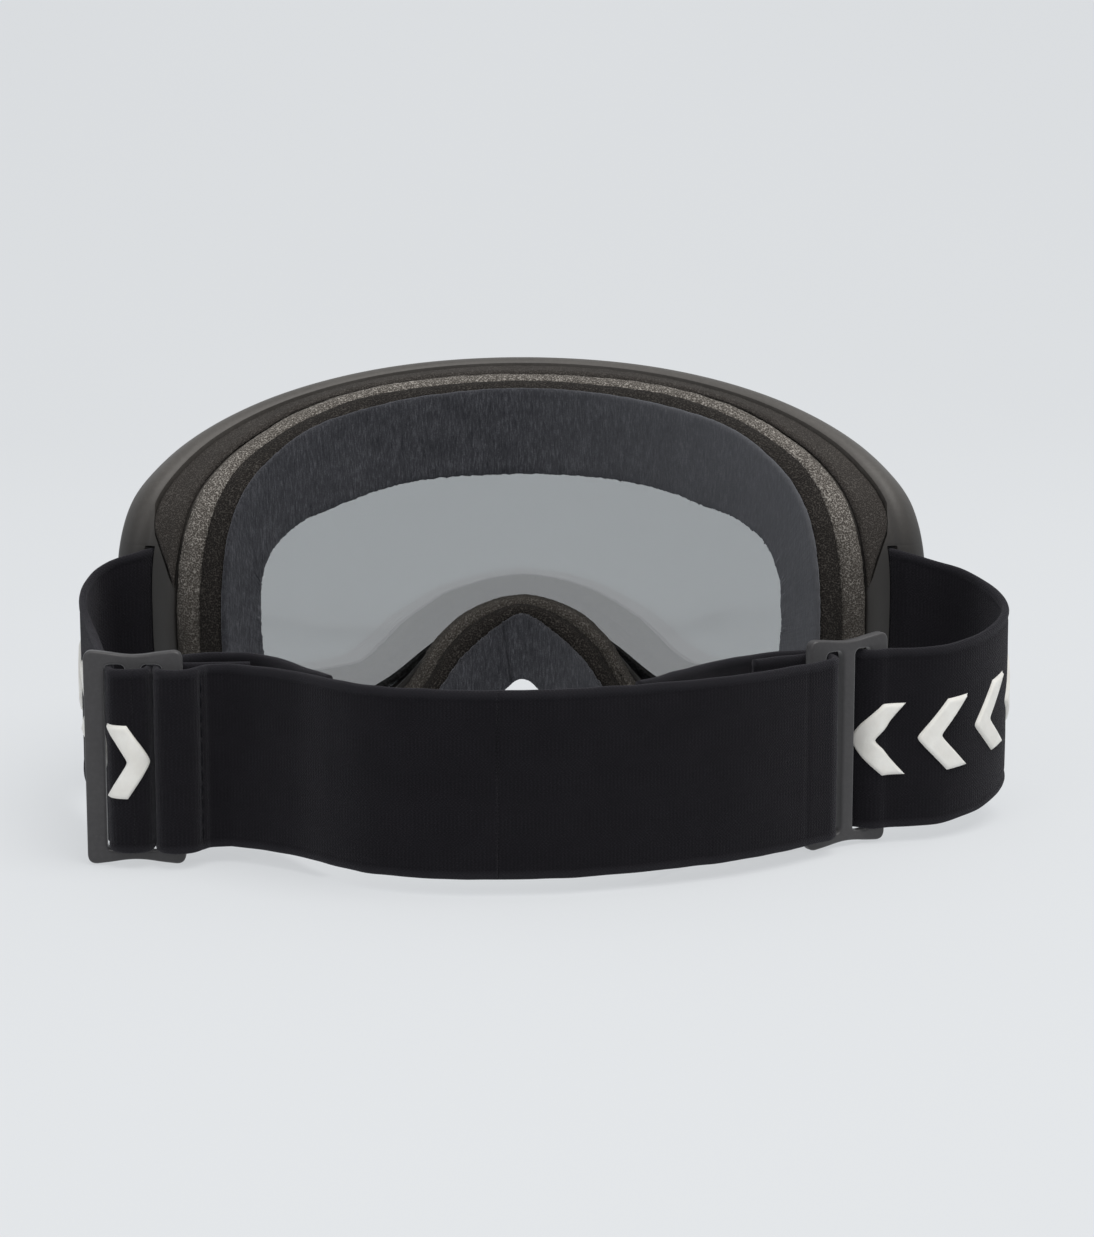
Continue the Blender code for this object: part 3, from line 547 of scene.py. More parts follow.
def webbing_material():
    """Knitted elastic: rows of small slanted loops, seen through the strap's own map, with a painted
    highlight along both long edges.
    """
    n = Nodes("knitted_webbing")
    flat = n.place(1.0, coord="UV")
    left = n.bands(flat, 0.80, "DIAGONAL", 0.9)
    flip = n.add("ShaderNodeMapping", {"Vector": flat, "Scale": (-1.0, 1.0, 1.0)}).outputs["Vector"]
    right = n.bands(flip, 0.80, "DIAGONAL", 0.9)
    rows = n.bands(flat, 0.42, "Y", 0.5)
    loops = n.math("MAXIMUM", n.math("MULTIPLY", left, rows),
                   n.math("MULTIPLY", right, n.math("SUBTRACT", 1.0, rows)))
    lint = n.noise(flat, 4.5, 3.0, 0.7)
    wide = n.noise(flat, 0.12, 3.0, 0.6)
    tone = n.math("ADD", n.math("MULTIPLY", loops, 0.22), n.math("MULTIPLY", lint, 0.78))
    tone = n.math("ADD", tone, n.math("MULTIPLY", n.math("SUBTRACT", wide, 0.5), 0.2))
    # Painted highlight: both long edges of the strap are mixed lighter.
    height_mm = n.add("ShaderNodeSeparateXYZ", {"Vector": flat}).outputs["Y"]
    from_middle = n.math("ABSOLUTE", n.math("SUBTRACT", height_mm, STRAP_W / 2))
    painted_edge_highlight = n.ramp(n.math("MULTIPLY", from_middle, 1.0 / (STRAP_W / 2)), (0.90, 0.0), (0.95, 1.0))
    colour = n.ramp(tone, (0.24, (0.0038, 0.0034, 0.0046)), (0.55, (0.0090, 0.0081, 0.0105)),
                    (0.9, (0.026, 0.0245, 0.029)))
    colour = n.mix(n.math("MULTIPLY", painted_edge_highlight, 0.5), colour, (0.024, 0.023, 0.027))
    n.link(colour, "Base Color")
    height = n.math("ADD", n.math("MULTIPLY", loops, 0.5), n.math("MULTIPLY", lint, 1.4))
    n.link(n.bump(height, 0.7, 0.00026), "Normal")
    n.set(roughness=0.92, specular_ior_level=0.14, sheen_weight=0.10, sheen_roughness=0.35,
          sheen_tint=(0.9, 0.88, 0.95, 1.0))
    return n.mat


def lens_material(name, mirror, density):
    """Thin polished polycarbonate: each face mirrors a little and holds back some light."""
    n = Nodes(name)
    at = n.place(1.0)
    haze = n.noise(at, 30.0, 3.0)
    n.link(n.ramp(haze, (0.4, 0.0), (0.8, 0.015)), "Roughness")
    n.link(n.ramp(n.noise(at, 14.0, 2.0), (0.2, tuple(c * 0.97 for c in mirror)), (0.8, mirror)),
           "Base Color")
    n.link(n.ramp(n.noise(at, 9.0, 2.0), (0.3, density * 0.985), (0.7, density)), "Alpha")
    n.set(metallic=1.0)
    return n.mat


def silicone_material():
    n = Nodes("silicone_print")
    at = n.place(1.0)
    cloud = n.noise(at, 220.0, 3.0)
    skin = n.noise(at, 2200.0, 2.0, 0.6)
    n.link(n.ramp(cloud, (0.3, (0.76, 0.74, 0.69)), (0.7, (0.86, 0.845, 0.80))), "Base Color")
    n.link(n.bump(n.math("ADD", skin, cloud), 0.25, 0.0002), "Normal")
    n.set(roughness=0.55, specular_ior_level=0.35, subsurface_weight=0.08)
    n.shader.inputs["Subsurface Radius"].default_value = (0.001, 0.0009, 0.0008)
    return n.mat


def thread_material():
    n = Nodes("sewing_thread")
    at = n.place(1.0)
    twist = n.noise(at, 3200.0, 1.0)
    n.link(n.ramp(twist, (0.3, (0.006, 0.006, 0.007)), (0.7, (0.014, 0.014, 0.017))), "Base Color")
    n.link(n.bump(twist, 0.4, 0.0001), "Normal")
    n.set(roughness=0.95, specular_ior_level=0.05)
    return n.mat


def floor_material():
    """Pale table top that glows a little, so shadows on it stay faint."""
    n = Nodes("pale_floor")
    tone = n.noise(n.place(1.0), 3.0, 2.0)
    n.link(n.ramp(tone, (0.3, (0.20, 0.205, 0.21)), (0.7, (0.205, 0.21, 0.215))), "Base Color")
    n.link(n.ramp(tone, (0.3, (0.755, 0.775, 0.795)), (0.7, (0.760, 0.780, 0.800))), "Emission Color")
    n.set(roughness=0.75, specular_ior_level=0.0, emission_strength=0.70)
    return n.mat


MAT = {
    "frame": plastic("moulded_frame", (0.062, 0.056, 0.050), (0.080, 0.073, 0.066), 0.52, 900.0, 0.0562),
    "slider": plastic("moulded_slider", (0.040, 0.038, 0.039), (0.052, 0.050, 0.051), 0.40, 1100.0),
    "foam_light": foam("foam_light", (0.040, 0.035, 0.030), (0.112, 0.100, 0.088),
                       (0.46, 0.43, 0.39), 2700.0, 0.64, 0.8, 0.62),
    "foam_dark": foam("foam_dark", (0.006, 0.005, 0.0045), (0.019, 0.016, 0.014),
                      (0.075, 0.068, 0.060), 2700.0, 0.70, 0.9),
    "vent_foam": foam("vent_foam", (0.020, 0.017, 0.015), (0.044, 0.039, 0.035),
                      (0.105, 0.096, 0.087), 3300.0, 0.74, 0.6),
    "gasket": foam("gasket_foam", (0.006, 0.006, 0.006), (0.018, 0.018, 0.018),
                   (0.05, 0.05, 0.05), 1800.0, 0.75, 0.6),
    "fleece": fleece_material(),
    "webbing": webbing_material(),
    "lens_tint": lens_material("lens_tinted", (0.070, 0.094, 0.098), 0.445),
    "lens_clear": lens_material("lens_clear", (0.93, 0.96, 0.97), 0.055),
    "silicone": silicone_material(),
    "thread": thread_material(),
}


# --------------------------------------------------------------- goggle body
def wall_radius(f):
    """Radius of the sloping wall, a share f of the way back."""
    return WALL_FRONT_R - (WALL_FRONT_R - WALL_BACK_R) * f


def build_frame():
    """Rim, wall and flange in one loft, then slots, windows and the vent foam's pocket."""
    rim = outline_of(RIM)
    foam_line = outline_of(FOAM_OUTER)
    hole = outline_of(FLANGE_INNER)
    rings = [(r, inset(rim, r, d)) for r, d in (
        (109.0, 4.2), (109.17, 3.95), (109.2, 3.6), (109.17, 3.2), (109.0, 2.7), (108.7, 2.25),
        (108.2, 1.8), (107.5, 1.35), (106.7, 0.95), (105.9, 0.6), (105.0, 0.28), (104.2, 0.08),
        (103.4, 0.0), (102.6, 0.08), (101.9, 0.3), (101.3, 0.65), (100.9, 1.05), (100.6, 1.45),
        (100.3, 1.75), (99.8, 1.92))]
    base = inset(rim, WALL_FRONT_R, 1.9)
    low = inset(foam_line, WALL_BACK_R, -0.45)
    for f in (0.2, 0.4, 0.6, 0.8, 1.0):
        rings.append((wall_radius(f), between(base, low, f)))
    rings += [
        (93.2, inset(foam_line, 93.2, -0.35)), (92.8, inset(foam_line, 92.8, 0.0)),
        (92.4, inset(foam_line, 92.4, 0.45)), (FLANGE_R, inset(foam_line, FLANGE_R, 1.1)),
        (FLANGE_R, between(foam_line, hole, 0.5)),
        (FLANGE_R, inset(hole, FLANGE_R, -0.8)), (92.3, inset(hole, FLANGE_R, -0.25)),
        (92.6, inset(hole, FLANGE_R, 0.0)), (93.1, inset(hole, FLANGE_R, 0.08)),
        (93.6, inset(hole, FLANGE_R, 0.0)), (94.0, inset(hole, FLANGE_R, -0.4)),
        (94.4, inset(foam_line, 94.4, 3.2)),
        (100.6, inset(rim, 100.6, 5.0)), (104.4, inset(rim, 104.4, 6.9)),
        (106.2, inset(rim, 106.2, 6.9)), (106.2, inset(rim, 106.2, 4.2)),
    ]
    obj = ring_loft("frame_shell", rings, MAT["frame"], 50.0)
    cutters = []
    for side in (1, -1):
        angle = SLOT_U / WRAP
        radial = Vector((side * math.sin(angle), -math.cos(angle), 0))
        along = Vector((side * math.cos(angle), math.sin(angle), 0))
        reach = SLOT_R * math.sin(angle) - SLOT_DEPTH * math.cos(angle)
        back = -SLOT_R * math.cos(angle) - SLOT_DEPTH * math.sin(angle)
        centre = world(side * reach, back, SLOT_Z + STRAP_W / 2)
        cutters.append(box_cutter(centre, (radial, along, (0, 0, 1)), (2.3, 18.0, STRAP_W + 1.2)))
    cutters.append(box_cutter(world(0, -70, -3.0), ((1, 0, 0), (0, 1, 0), (0, 0, 1)), (220, 110, 6)))
    mid = between(rim, foam_line, 0.5)
    for k in VENTS_AT:
        u, z = mid[k]
        tangent = (wrapped(*mid[k + 2], VENT_R) - wrapped(*mid[k - 2], VENT_R)).normalized()
        radial = Vector((math.sin(u / WRAP), -math.cos(u / WRAP), 0))
        up = tangent.cross(radial).normalized()
        radial = up.cross(tangent).normalized()
        cutters.append(box_cutter(wrapped(u, z - 1.5, VENT_R), (tangent, radial, up), VENT_BOX))
    cutters.append(vent_shape("cutter", 0.35, -1.3, 4.0, False))
    carve(obj, cutters)
    obj.data.shade_smooth()
    obj.data.set_sharp_from_angle(angle=math.radians(36))
    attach(obj, "goggles")
    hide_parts("frame")


def wall_point(index, f, lift):
    """Point lifted off the top wall; index may be fractional."""
    i0 = int(math.floor(index))
    g = index - i0
    line = []
    for k in (i0 - 1, i0, i0 + 1, i0 + 2):
        a, b = VENT_RIM[k % VENT_COUNT], VENT_LOW[k % VENT_COUNT]
        line.append((a[0] + (b[0] - a[0]) * f, a[1] + (b[1] - a[1]) * f))
    u = line[1][0] + (line[2][0] - line[1][0]) * g
    z = line[1][1] + (line[2][1] - line[1][1]) * g
    tu, tz = line[2][0] - line[1][0], line[2][1] - line[1][1]
    length = math.hypot(tu, tz)
    return wrapped(u - tz / length * lift, z + tu / length * lift, wall_radius(f))


def vent_end(f, grow):
    """Where the strip ends along the wall at f; the outer corner is rounded."""
    corner = max(0.0, 0.16 - f) / 0.30
    return VENT_HALF + 38.0 * f - 16.0 * corner * corner + grow * 2.4


def vent_shape(name, grow, low, top, fine):
    """Crescent of vent foam, or the pocket cut for it when fine is False."""
    across = 18 if fine else 10
    along = 520 if fine else 200
    f0, f1 = -0.14 - grow * 0.10, 1.19 + grow * 0.4
    rows = []
    for i in range(along + 1):
        p = i / along * 2 - 1
        row = []
        for j in range(across + 1):
            q = j / across
            f = f0 + (f1 - f0) * q
            index = p * vent_end(f, grow)
            edge = min(1.0, (1 - abs(p)) * along / (14.0 if fine else 1e-3))
            side = min(1.0, min(q, 1 - q) * 6.0)
            lift = top
            if fine:
                rounding = (1 - (1 - side) ** 2) * (1 - (1 - edge) ** 2)
                lift = low + (top - low) * max(0.12, rounding) ** 0.5
            row.append((index, f, lift))
        rows.append(row)
    verts = [wall_point(a, f, h) for row in rows for a, f, h in row]
    verts += [wall_point(a, f, low) for row in rows for a, f, _ in row]
    mat = MAT["vent_foam"] if fine else MAT["frame"]
    return new_mesh(name, verts, slab_faces(along, across), mat, 45.0)


VENT_RIM = inset(outline_of(RIM, VENT_COUNT), WALL_FRONT_R, 1.9)
VENT_LOW = inset(outline_of(FOAM_OUTER, VENT_COUNT), WALL_BACK_R, -0.45)


def build_vent_foam():
    obj = vent_shape("vent_foam_strip", 0.0, -0.9, 0.35, True)
    roughen(obj, 0.12, 5.0, 0.05, 11)
    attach(obj, "goggles")
    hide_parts("vent_foam")


def foam_ring(name, rings, mat, node, seed, coarse, grain):
    """Foam layer with an uneven, slightly grainy skin."""
    obj = ring_loft(name, rings, MAT[mat], 0)
    roughen(obj, coarse, 4.0, grain, seed)
    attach(obj, "goggles")
    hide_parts(node)


def build_foams():
    count = 900
    outer = outline_of(FOAM_OUTER, count)
    middle = outline_of(FOAM_MIDDLE, count)
    face = outline_of(FLEECE_OUTER, count)
    light_in = outline_of(LIGHT_INNER, count)
    dark_in = outline_of(DARK_INNER, count)
    r0, r1 = LIGHT_FOAM_R
    rings = []
    steps = 15
    for i in range(steps + 1):
        t = i / steps
        r = r1 + (r0 - r1) * t
        line = between(outer, middle, t ** 1.2)
        bulge = max(0.0, math.sin(math.pi * t)) ** 0.7
        rings.append((r, inset(line, r, 0.75 - 1.15 * bulge)))
    rings.append((r0 - 0.05, inset(middle, r0, 1.6)))
    for f in (0.12, 0.3, 0.5, 0.7, 0.88):
        rings.append((r0 - 0.05, between(middle, light_in, f)))
    rings += [(r0, inset(light_in, r0, -0.6)), (r0 + 0.6, inset(light_in, r0, -0.05)),
              (r0 + 1.4, inset(light_in, r0, 0.1)), (r0 + 3.0, inset(light_in, r0, 0.1)),
              (r1 - 0.8, inset(light_in, r1, 0.0)), (r1, inset(light_in, r1, -0.5)),
              (r1, between(light_in, outer, 0.5))]
    foam_ring("face_foam_light_pad", rings, "foam_light", "face_foam_light",
              21, 0.16, 0.07)
    r0, r1 = 80.3, 85.9
    rings = []
    steps = 13
    for i in range(steps + 1):
        t = i / steps
        r = r1 + (r0 - r1) * t
        line = between(middle, face, t)
        bulge = math.sin(math.pi * t) ** 0.8
        rings.append((r, inset(line, r, 0.45 - 0.5 * bulge)))
    for f in (0.05, 0.2, 0.4, 0.6, 0.8, 0.95):
        rings.append((r0 - 0.05, between(face, dark_in, f)))
    rings += [(r0 + 0.1, inset(dark_in, r0, -0.3)), (r0 + 0.8, inset(dark_in, r0, 0.1)),
              (r0 + 2.4, inset(dark_in, r0, 0.2)), (r1 - 0.8, inset(dark_in, r1, 0.0)),
              (r1, inset(dark_in, r1, -0.4)), (r1, between(dark_in, middle, 0.5))]
    foam_ring("face_foam_dark_pad", rings, "foam_dark", "face_foam_dark",
              22, 0.14, 0.06)


def build_fleece():
    """Face layer: soft outer edge, hand-cut inner edge, seam slit over the nose."""
    count = 1500
    face = outline_of(FLEECE_OUTER, count)
    inner = outline_of(FLEECE_INNER, count)
    rnd = random.Random(31)
    ragged = []
    value = 0.0
    for k in range(count):
        value = value * 0.55 + rnd.uniform(-0.11, 0.11)
        slow = noise.noise(Vector((k * 0.021, 3.1, 0.0))) * 0.28
        nick = 0.22 if rnd.random() < 0.03 else 0.0
        ragged.append(value + slow + nick)
    ragged_out = [0.12 * noise.noise(Vector((k * 0.11, 7.7, 0.0))) for k in range(count)]
    edge = inset(inner, 79.0, ragged)
    outside = inset(face, 79.0, ragged_out)
    r0, r1 = 78.65, 79.9
    rings = [(r1, inset(outside, r1, 0.1)), (r1 - 0.35, inset(outside, r1, -0.12)),
             (r0 + 0.35, inset(outside, r0, 0.0)), (r0 + 0.1, inset(outside, r0, 0.35)),
             (r0, inset(outside, r0, 0.9))]
    rings += [(r0, between(outside, edge, f)) for f in
              (0.1, 0.18, 0.26, 0.34, 0.42, 0.5, 0.58, 0.66, 0.74, 0.82, 0.9)]
    rings += [(r0, inset(edge, r0, -0.5)), (r0 + 0.15, inset(edge, r0, -0.15)),
              (r0 + 0.45, inset(edge, r0, 0.05)), (r1 - 0.3, inset(edge, r1, 0.0)),
              (r1, inset(edge, r1, -0.25)), (r1, between(outside, edge, 0.5))]
    verts = []
    for r, line in rings:
        for u, z in line:
            rr = r
            if r < 79.4:
                p = Vector((u * 0.045, z * 0.045, 1.7))
                rr += 0.22 * noise.noise(p) + 0.10 * noise.noise(p * 3.1)
                seam = seam_at(z)
                d = abs(u - seam)
                if z < 34.5 and d < 2.5:
                    rr += 0.75 * math.exp(-(d / 0.45) ** 2) - 0.18 * math.exp(-((d - 1.1) / 0.6) ** 2)
            verts.append(wrapped(u, z, rr))
    obj = new_mesh("face_fleece_layer", verts, ring_faces(len(rings), count), MAT["fleece"], 0)
    roughen(obj, 0.05, 1.4, 0.035, 32)
    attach(obj, "goggles")
    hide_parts("face_fleece")


def seam_at(z):
    """Sideways place of the seam that closes the fleece over the nose."""
    return 3.0 + (z - 19.0) * 0.16


def half_branches(margin, r):
    """Upper and lower edge of the rim's right half, and its greatest width."""
    count = 2400
    line = inset(outline_of(RIM, count), r, margin)
    right = [p for p in line[: count // 2 + 1] if p[0] >= -0.001]
    widest = max(range(len(right)), key=lambda i: right[i][0])
    return sorted(right[: widest + 1]), sorted(right[widest:]), right[widest][0]


def height_at(branch, u):
    us = [p[0] for p in branch]
    zs = [p[1] for p in branch]
    return float(np.interp(u, us, zs))


def pane(name, radii, margin, mat, node):
    """Curved lens with eased edges, in upright columns that crowd towards the sides."""
    r0, r1 = radii
    columns = 110
    top, low, widest = half_branches(margin, r1)
    widths = [widest * math.sin(math.pi / 2 * i / columns) * 0.9994 for i in range(columns + 1)]
    spans = [(-w, height_at(top, w), height_at(low, w)) for w in reversed(widths[1:])]
    spans += [(w, height_at(top, w), height_at(low, w)) for w in widths]
    rings = []
    for u, z1, z0 in spans:
        h = z1 - z0
        c = min(0.35, h * 0.2)
        rings.append([
            wrapped(u, z0, r0 + 0.25), wrapped(u, z0, r1 - 0.25), wrapped(u, z0 + c, r1),
            wrapped(u, z0 + h * 0.5, r1), wrapped(u, z1 - c, r1), wrapped(u, z1, r1 - 0.25),
            wrapped(u, z1, r0 + 0.25), wrapped(u, z1 - c, r0), wrapped(u, z0 + h * 0.5, r0),
            wrapped(u, z0 + c, r0)])
    obj = tube_loft(name, rings, MAT[mat], 30.0)
    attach(obj, "goggles")
    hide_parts(node)


def build_lenses():
    pane("outer_pane", LENS_R, LENS_MARGIN, "lens_tint", "lens_outer")
    pane("inner_pane", PANE_R, PANE_MARGIN, "lens_clear", "lens_inner")
    rim = outline_of(RIM)
    back, front = GASKET_R
    rings = [(r, inset(rim, r, d)) for r, d in (
        (back, PANE_MARGIN), (front, PANE_MARGIN), (front, 8.4),
        (front - 0.2, 8.6), (back + 0.2, 8.6), (back, 8.4))]
    obj = ring_loft("pane_gasket", rings, MAT["gasket"], 35.0)
    roughen(obj, 0.03, 2.0, 0.015, 41)
    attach(obj, "goggles")
    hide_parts("lens_gasket")


# --------------------------------------------------------------------- strap
def right_local(a, b):
    ax, ay = -math.cos(SLIDER_R_TURN), -math.sin(SLIDER_R_TURN)
    return (SLIDER_R_AT[0] + a * ax + b * ay, SLIDER_R_AT[1] + a * ay - b * ax)


def left_local(a, b):
    return (SLIDER_L_AT[0] + a, SLIDER_L_AT[1] + b)


def slot_start(side):
    angle = SLOT_U / WRAP
    out = []
    for d in (-4.2, -1.6):
        out.append((side * (SLOT_R * math.sin(angle) + math.cos(angle) * d),
                    -SLOT_R * math.cos(angle) + math.sin(angle) * d, SLOT_Z))
    return out


def right_path():
    through = [right_local(a, b) for a, b in RIGHT_PASS]
    tail = [(x, y, STRAP_Z) for x, y in through + list(RIGHT_TAIL)]
    return slot_start(-1) + list(RIGHT_MAIN) + tail


def back_path():
    path = [left_local(a, b) for a, b in LOOP_LOCAL]
    path += list(BACK_MIDDLE)
    path += [right_local(a, b) for a, b in reversed(LOOP_LOCAL_RIGHT)]
    return [(x, y, STRAP_Z) for x, y in path]


# Across the webbing: (height share or mm from an edge, half thickness in mm).
PROFILE = ((0.0, 0.22), (0.12, 0.48), (0.35, 0.70), (0.8, 0.83), (1.3, 0.81), (1.75, 0.68),
           (2.1, 0.58), (2.5, 0.63), (3.2, 0.70))


def strap_section():
    """Half thickness at each height from the lower to the upper edge."""
    low = list(PROFILE)
    mid = [(3.2 + (STRAP_W - 6.4) * k / 9, 0.70) for k in range(1, 9)]
    high = [(STRAP_W - h, t) for h, t in reversed(PROFILE)]
    return low + mid + high


def webbing(name, stations, seed, pinch=()):
    """Knitted strip along stations, with its own map: s along and z up, in mm."""
    section = strap_section()
    verts = []
    coords = []
    for (x, y, z), (tx, ty), s in stations:
        nx, ny = -ty, tx
        edge_low = 0.16 * noise.noise(Vector((s * 0.16, seed, 0.0)))
        edge_high = 0.16 * noise.noise(Vector((s * 0.16, seed + 5.0, 0.0)))
        for side in (1, -1):
            for h, t in section if side > 0 else reversed(section):
                f = h / STRAP_W
                hz = z + h + edge_low * (1 - f) + edge_high * f
                wave = 0.13 * noise.noise(Vector((s * 0.07, h * 0.09, seed)))
                thick = t
                near_edge = 0.35 + 0.65 * min(1.0, h / 3, (STRAP_W - h) / 3)
                for at, width, depth in pinch:
                    thick -= depth * near_edge * math.exp(-((s - at) / width) ** 2)
                d = side * thick + wave
                verts.append(world(x + nx * d, y + ny * d, hz))
                coords.append((s, h))
    obj = new_mesh(name, verts, tube_faces(len(stations), 2 * len(section)), MAT["webbing"], 0)
    mesh = obj.data
    layer = mesh.uv_layers.new(name="UVMap")
    for loop in mesh.loops:
        layer.data[loop.index].uv = coords[loop.vertex_index]
    return obj


def stitches(name, stations, at, lift):
    """One upright row of short raised stitches on the rear face of a strap."""
    length, gap = 2.2, 0.9
    verts = []
    faces = []
    (x, y, z), (tx, ty), _ = min(stations, key=lambda q: abs(q[2] - at))
    nx, ny = ty, -tx
    h = 2.6
    while h + length < STRAP_W - 2.0:
        base = len(verts)
        for i in range(7):
            f = i / 6
            rise = 0.16 * math.sin(math.pi * f) + 0.02
            radius = 0.17 * (0.55 + 0.45 * math.sin(math.pi * f))
            for k in range(6):
                a = 2 * math.pi * k / 6
                out = lift + rise + radius * math.sin(a)
                sideways = radius * math.cos(a)
                verts.append(world(x + nx * out + tx * sideways, y + ny * out + ty * sideways,
                                   z + h + length * f))
        faces += tube_faces(7, 6, base)
        h += length + gap
    return new_mesh(name, verts, faces, MAT["thread"], 0)


def mark(name, stations, start, side, lean_by, stroke, node):
    """Raised soft-edged chevron printed on the outer face of the strap."""
    rows, cols = 40, 14
    top = []
    bottom = []
    for i in range(rows + 1):
        v = i / rows * 2 - 1
        lean = lean_by * (1 - math.sqrt(v * v + 0.004) + 0.03)
        for j in range(cols + 1):
            w = j / cols
            s = start + lean + stroke * w
            k = s / stations[1][2]
            i0 = max(0, min(len(stations) - 2, int(k)))
            g = k - i0
            p = [a + (b - a) * g for a, b in zip(stations[i0][0], stations[i0 + 1][0])]
            t = [a + (b - a) * g for a, b in zip(stations[i0][1], stations[i0 + 1][1])]
            length = math.hypot(*t)
            nx, ny = t[1] / length * side, -t[0] / length * side
            zc = p[2] + STRAP_W / 2 + v * MARK_H / 2
            edge = min(w, 1 - w) * stroke
            end = (1 - abs(v)) * MARK_H / 2
            d = max(0.0, min(edge, end, 0.9)) / 0.9
            rise = 0.25 + 0.62 * math.sqrt(max(0.0, 1 - (1 - d) ** 2))
            bottom.append(world(p[0] + nx * 0.55, p[1] + ny * 0.55, zc))
            top.append(world(p[0] + nx * (0.55 + rise), p[1] + ny * (0.55 + rise), zc))
    obj = new_mesh(name, bottom + top, slab_faces(rows, cols), MAT["silicone"], 50.0)
    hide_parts(node)
    return obj


def slider_ends(w, h, dip=1.2):
    """Corner points of the plate with both ends drawn in between the corners."""
    sweep = [(w * (k - 4) / 4, dip * math.sin(math.pi * k / 8) ** 2) for k in (2, 3, 4, 5, 6)]
    low = [(-w, -h)] + [(x, -h + d) for x, d in sweep] + [(w, -h)]
    high = [(w, h)] + [(-x, h - d) for x, d in sweep] + [(-w, h)]
    return low + high


def slider(name, at, turn, body, node):
    """Three-bar slider with rounded edges and bowed ends."""
    w = 0.5 * SLIDER_BAR + SLIDER_WINDOW + SLIDER_SIDE
    h = SLIDER_H / 2
    curve = bpy.data.curves.new(name, "CURVE")
    curve.dimensions = "2D"
    curve.fill_mode = "BOTH"
    bevel = 0.62
    curve.extrude = (SLIDER_T / 2 - bevel) * MM
    curve.bevel_depth = bevel * MM
    curve.bevel_resolution = 4
    curve.offset = -bevel * MM
    loops = [rounded(slider_ends(w, h), 2.9, 10)]
    for side in (-1, 1):
        x0 = side * (SLIDER_BAR + SLIDER_WINDOW) / 2
        a, b = SLIDER_WINDOW / 2, SLIDER_WINDOW_H / 2
        loops.append(rounded([(x0 - a, -b), (x0 + a, -b), (x0 + a, b), (x0 - a, b)], 1.5, 8))
    for loop in loops:
        sp = curve.splines.new("POLY")
        sp.points.add(len(loop) - 1)
        for point, (x, z) in zip(sp.points, loop):
            point.co = (x * MM, z * MM, 0.0, 1.0)
        sp.use_cyclic_u = True
    temp = bpy.data.objects.new(name + "_curve", curve)
    bpy.context.scene.collection.objects.link(temp)
    bpy.context.view_layer.update()
    deps = bpy.context.evaluated_depsgraph_get()
    mesh = bpy.data.meshes.new_from_object(temp.evaluated_get(deps))
    bpy.data.objects.remove(temp, do_unlink=True)
    bm = bmesh.new()
    bm.from_mesh(mesh)
    bmesh.ops.remove_doubles(bm, verts=bm.verts, dist=1e-6)
    ca, sa = math.cos(turn), math.sin(turn)
    for v in bm.verts:
        a, z, b = v.co.x / MM, v.co.y / MM, v.co.z / MM
        v.co = world(at[0] + a * ca - b * sa, at[1] + a * sa + b * ca, z + h)
    bmesh.ops.recalc_face_normals(bm, faces=bm.faces)
    bm.to_mesh(mesh)
    bm.free()
    mesh.materials.clear()
    mesh.materials.append(MAT["slider"])
    obj = bpy.data.objects.new(name, mesh)
    bpy.context.scene.collection.objects.link(obj)
    mesh.shade_smooth()
    mesh.set_sharp_from_angle(angle=math.radians(40))
    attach(obj, body)
    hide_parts(node)


def rounded(points, radius, steps):
    """Closed outline with every corner replaced by a short curve."""
    out = []
    n = len(points)
    for i in range(n):
        p0, p1, p2 = Vector(points[i - 1]), Vector(points[i]), Vector(points[(i + 1) % n])
        limit = min(radius, 0.45 * (p0 - p1).length, 0.45 * (p2 - p1).length)
        start = p1 + (p0 - p1).normalized() * limit
        end = p1 + (p2 - p1).normalized() * limit
        for k in range(steps + 1):
            f = k / steps
            out.append(tuple(start.lerp(p1, f).lerp(p1.lerp(end, f), f)))
    return out


def outer_station(stations, x):
    """Distance along the back strap where its outer layer passes x."""
    def miss(q):
        px, py = q[0][0], q[0][1]
        layer = [r for r in stations if abs(r[0][0] - px) < 0.6]
        behind = max(r[0][1] for r in layer) - py
        return abs(px - x) + behind
    return min(stations, key=miss)[2]


# Where each side strap starts and ends to follow its slider, in the frame's metres.
LEFT_BLEND = ((0.1023, -0.005, 0.02), (0.0915, 0.0475, 0.02))
RIGHT_BLEND = ((-0.1015, 0.004, 0.02), (-0.0765, 0.0285, 0.02))


def nearest(stations, point):
    """Index of the station nearest to a point in plan."""
    return min(range(len(stations)), key=lambda k: math.dist(stations[k][0][:2], point))


def build_straps():
    left = resample(slot_start(1) + list(LEFT_MAIN), STEP)
    right = resample(right_path(), STEP)
    back = resample(back_path(), STEP)
    # Each side strap is split where it turns over the slider's middle bar.
    for word, stations, bar, line, seed in (
            ("left", left, left_local(0.0, 3.6), LEFT_BLEND, 3.0),
            ("right", right, SLIDER_R_AT, RIGHT_BLEND, 9.0)):
        k = nearest(stations, bar)
        main = webbing("webbing_side_" + word, stations[: k + 1], seed)
        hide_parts("strap_" + word)
        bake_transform(main)
        tail = webbing("webbing_tail_" + word, stations[k:], seed + 10.0)
        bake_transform(tail)
    # The back strap is two pieces that meet at the crease in its middle.
    mid = outer_station(back, 4.2)
    k = int(round(mid / back[1][2]))
    seam_left = outer_station(back, SLIDER_L_AT[0] - 13.6)
    seam_right = outer_station(back, SLIDER_R_AT[0] + 9.6)
    half_left = webbing("webbing_back_left", back[: k + 1], 23.0,
                        ((mid, 0.7, 0.10), (seam_left, 0.55, 0.34)))
    half_right = webbing("webbing_back_right", back[k:], 29.0,
                         ((mid, 0.7, 0.10), (seam_right, 0.45, 0.16)))
    seams_left = stitches("loop_stitches_left", back, seam_left, 0.45)
    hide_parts("strap_back")
    for obj in (half_left, seams_left):
        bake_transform(obj)
    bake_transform(half_right)
    return left, right


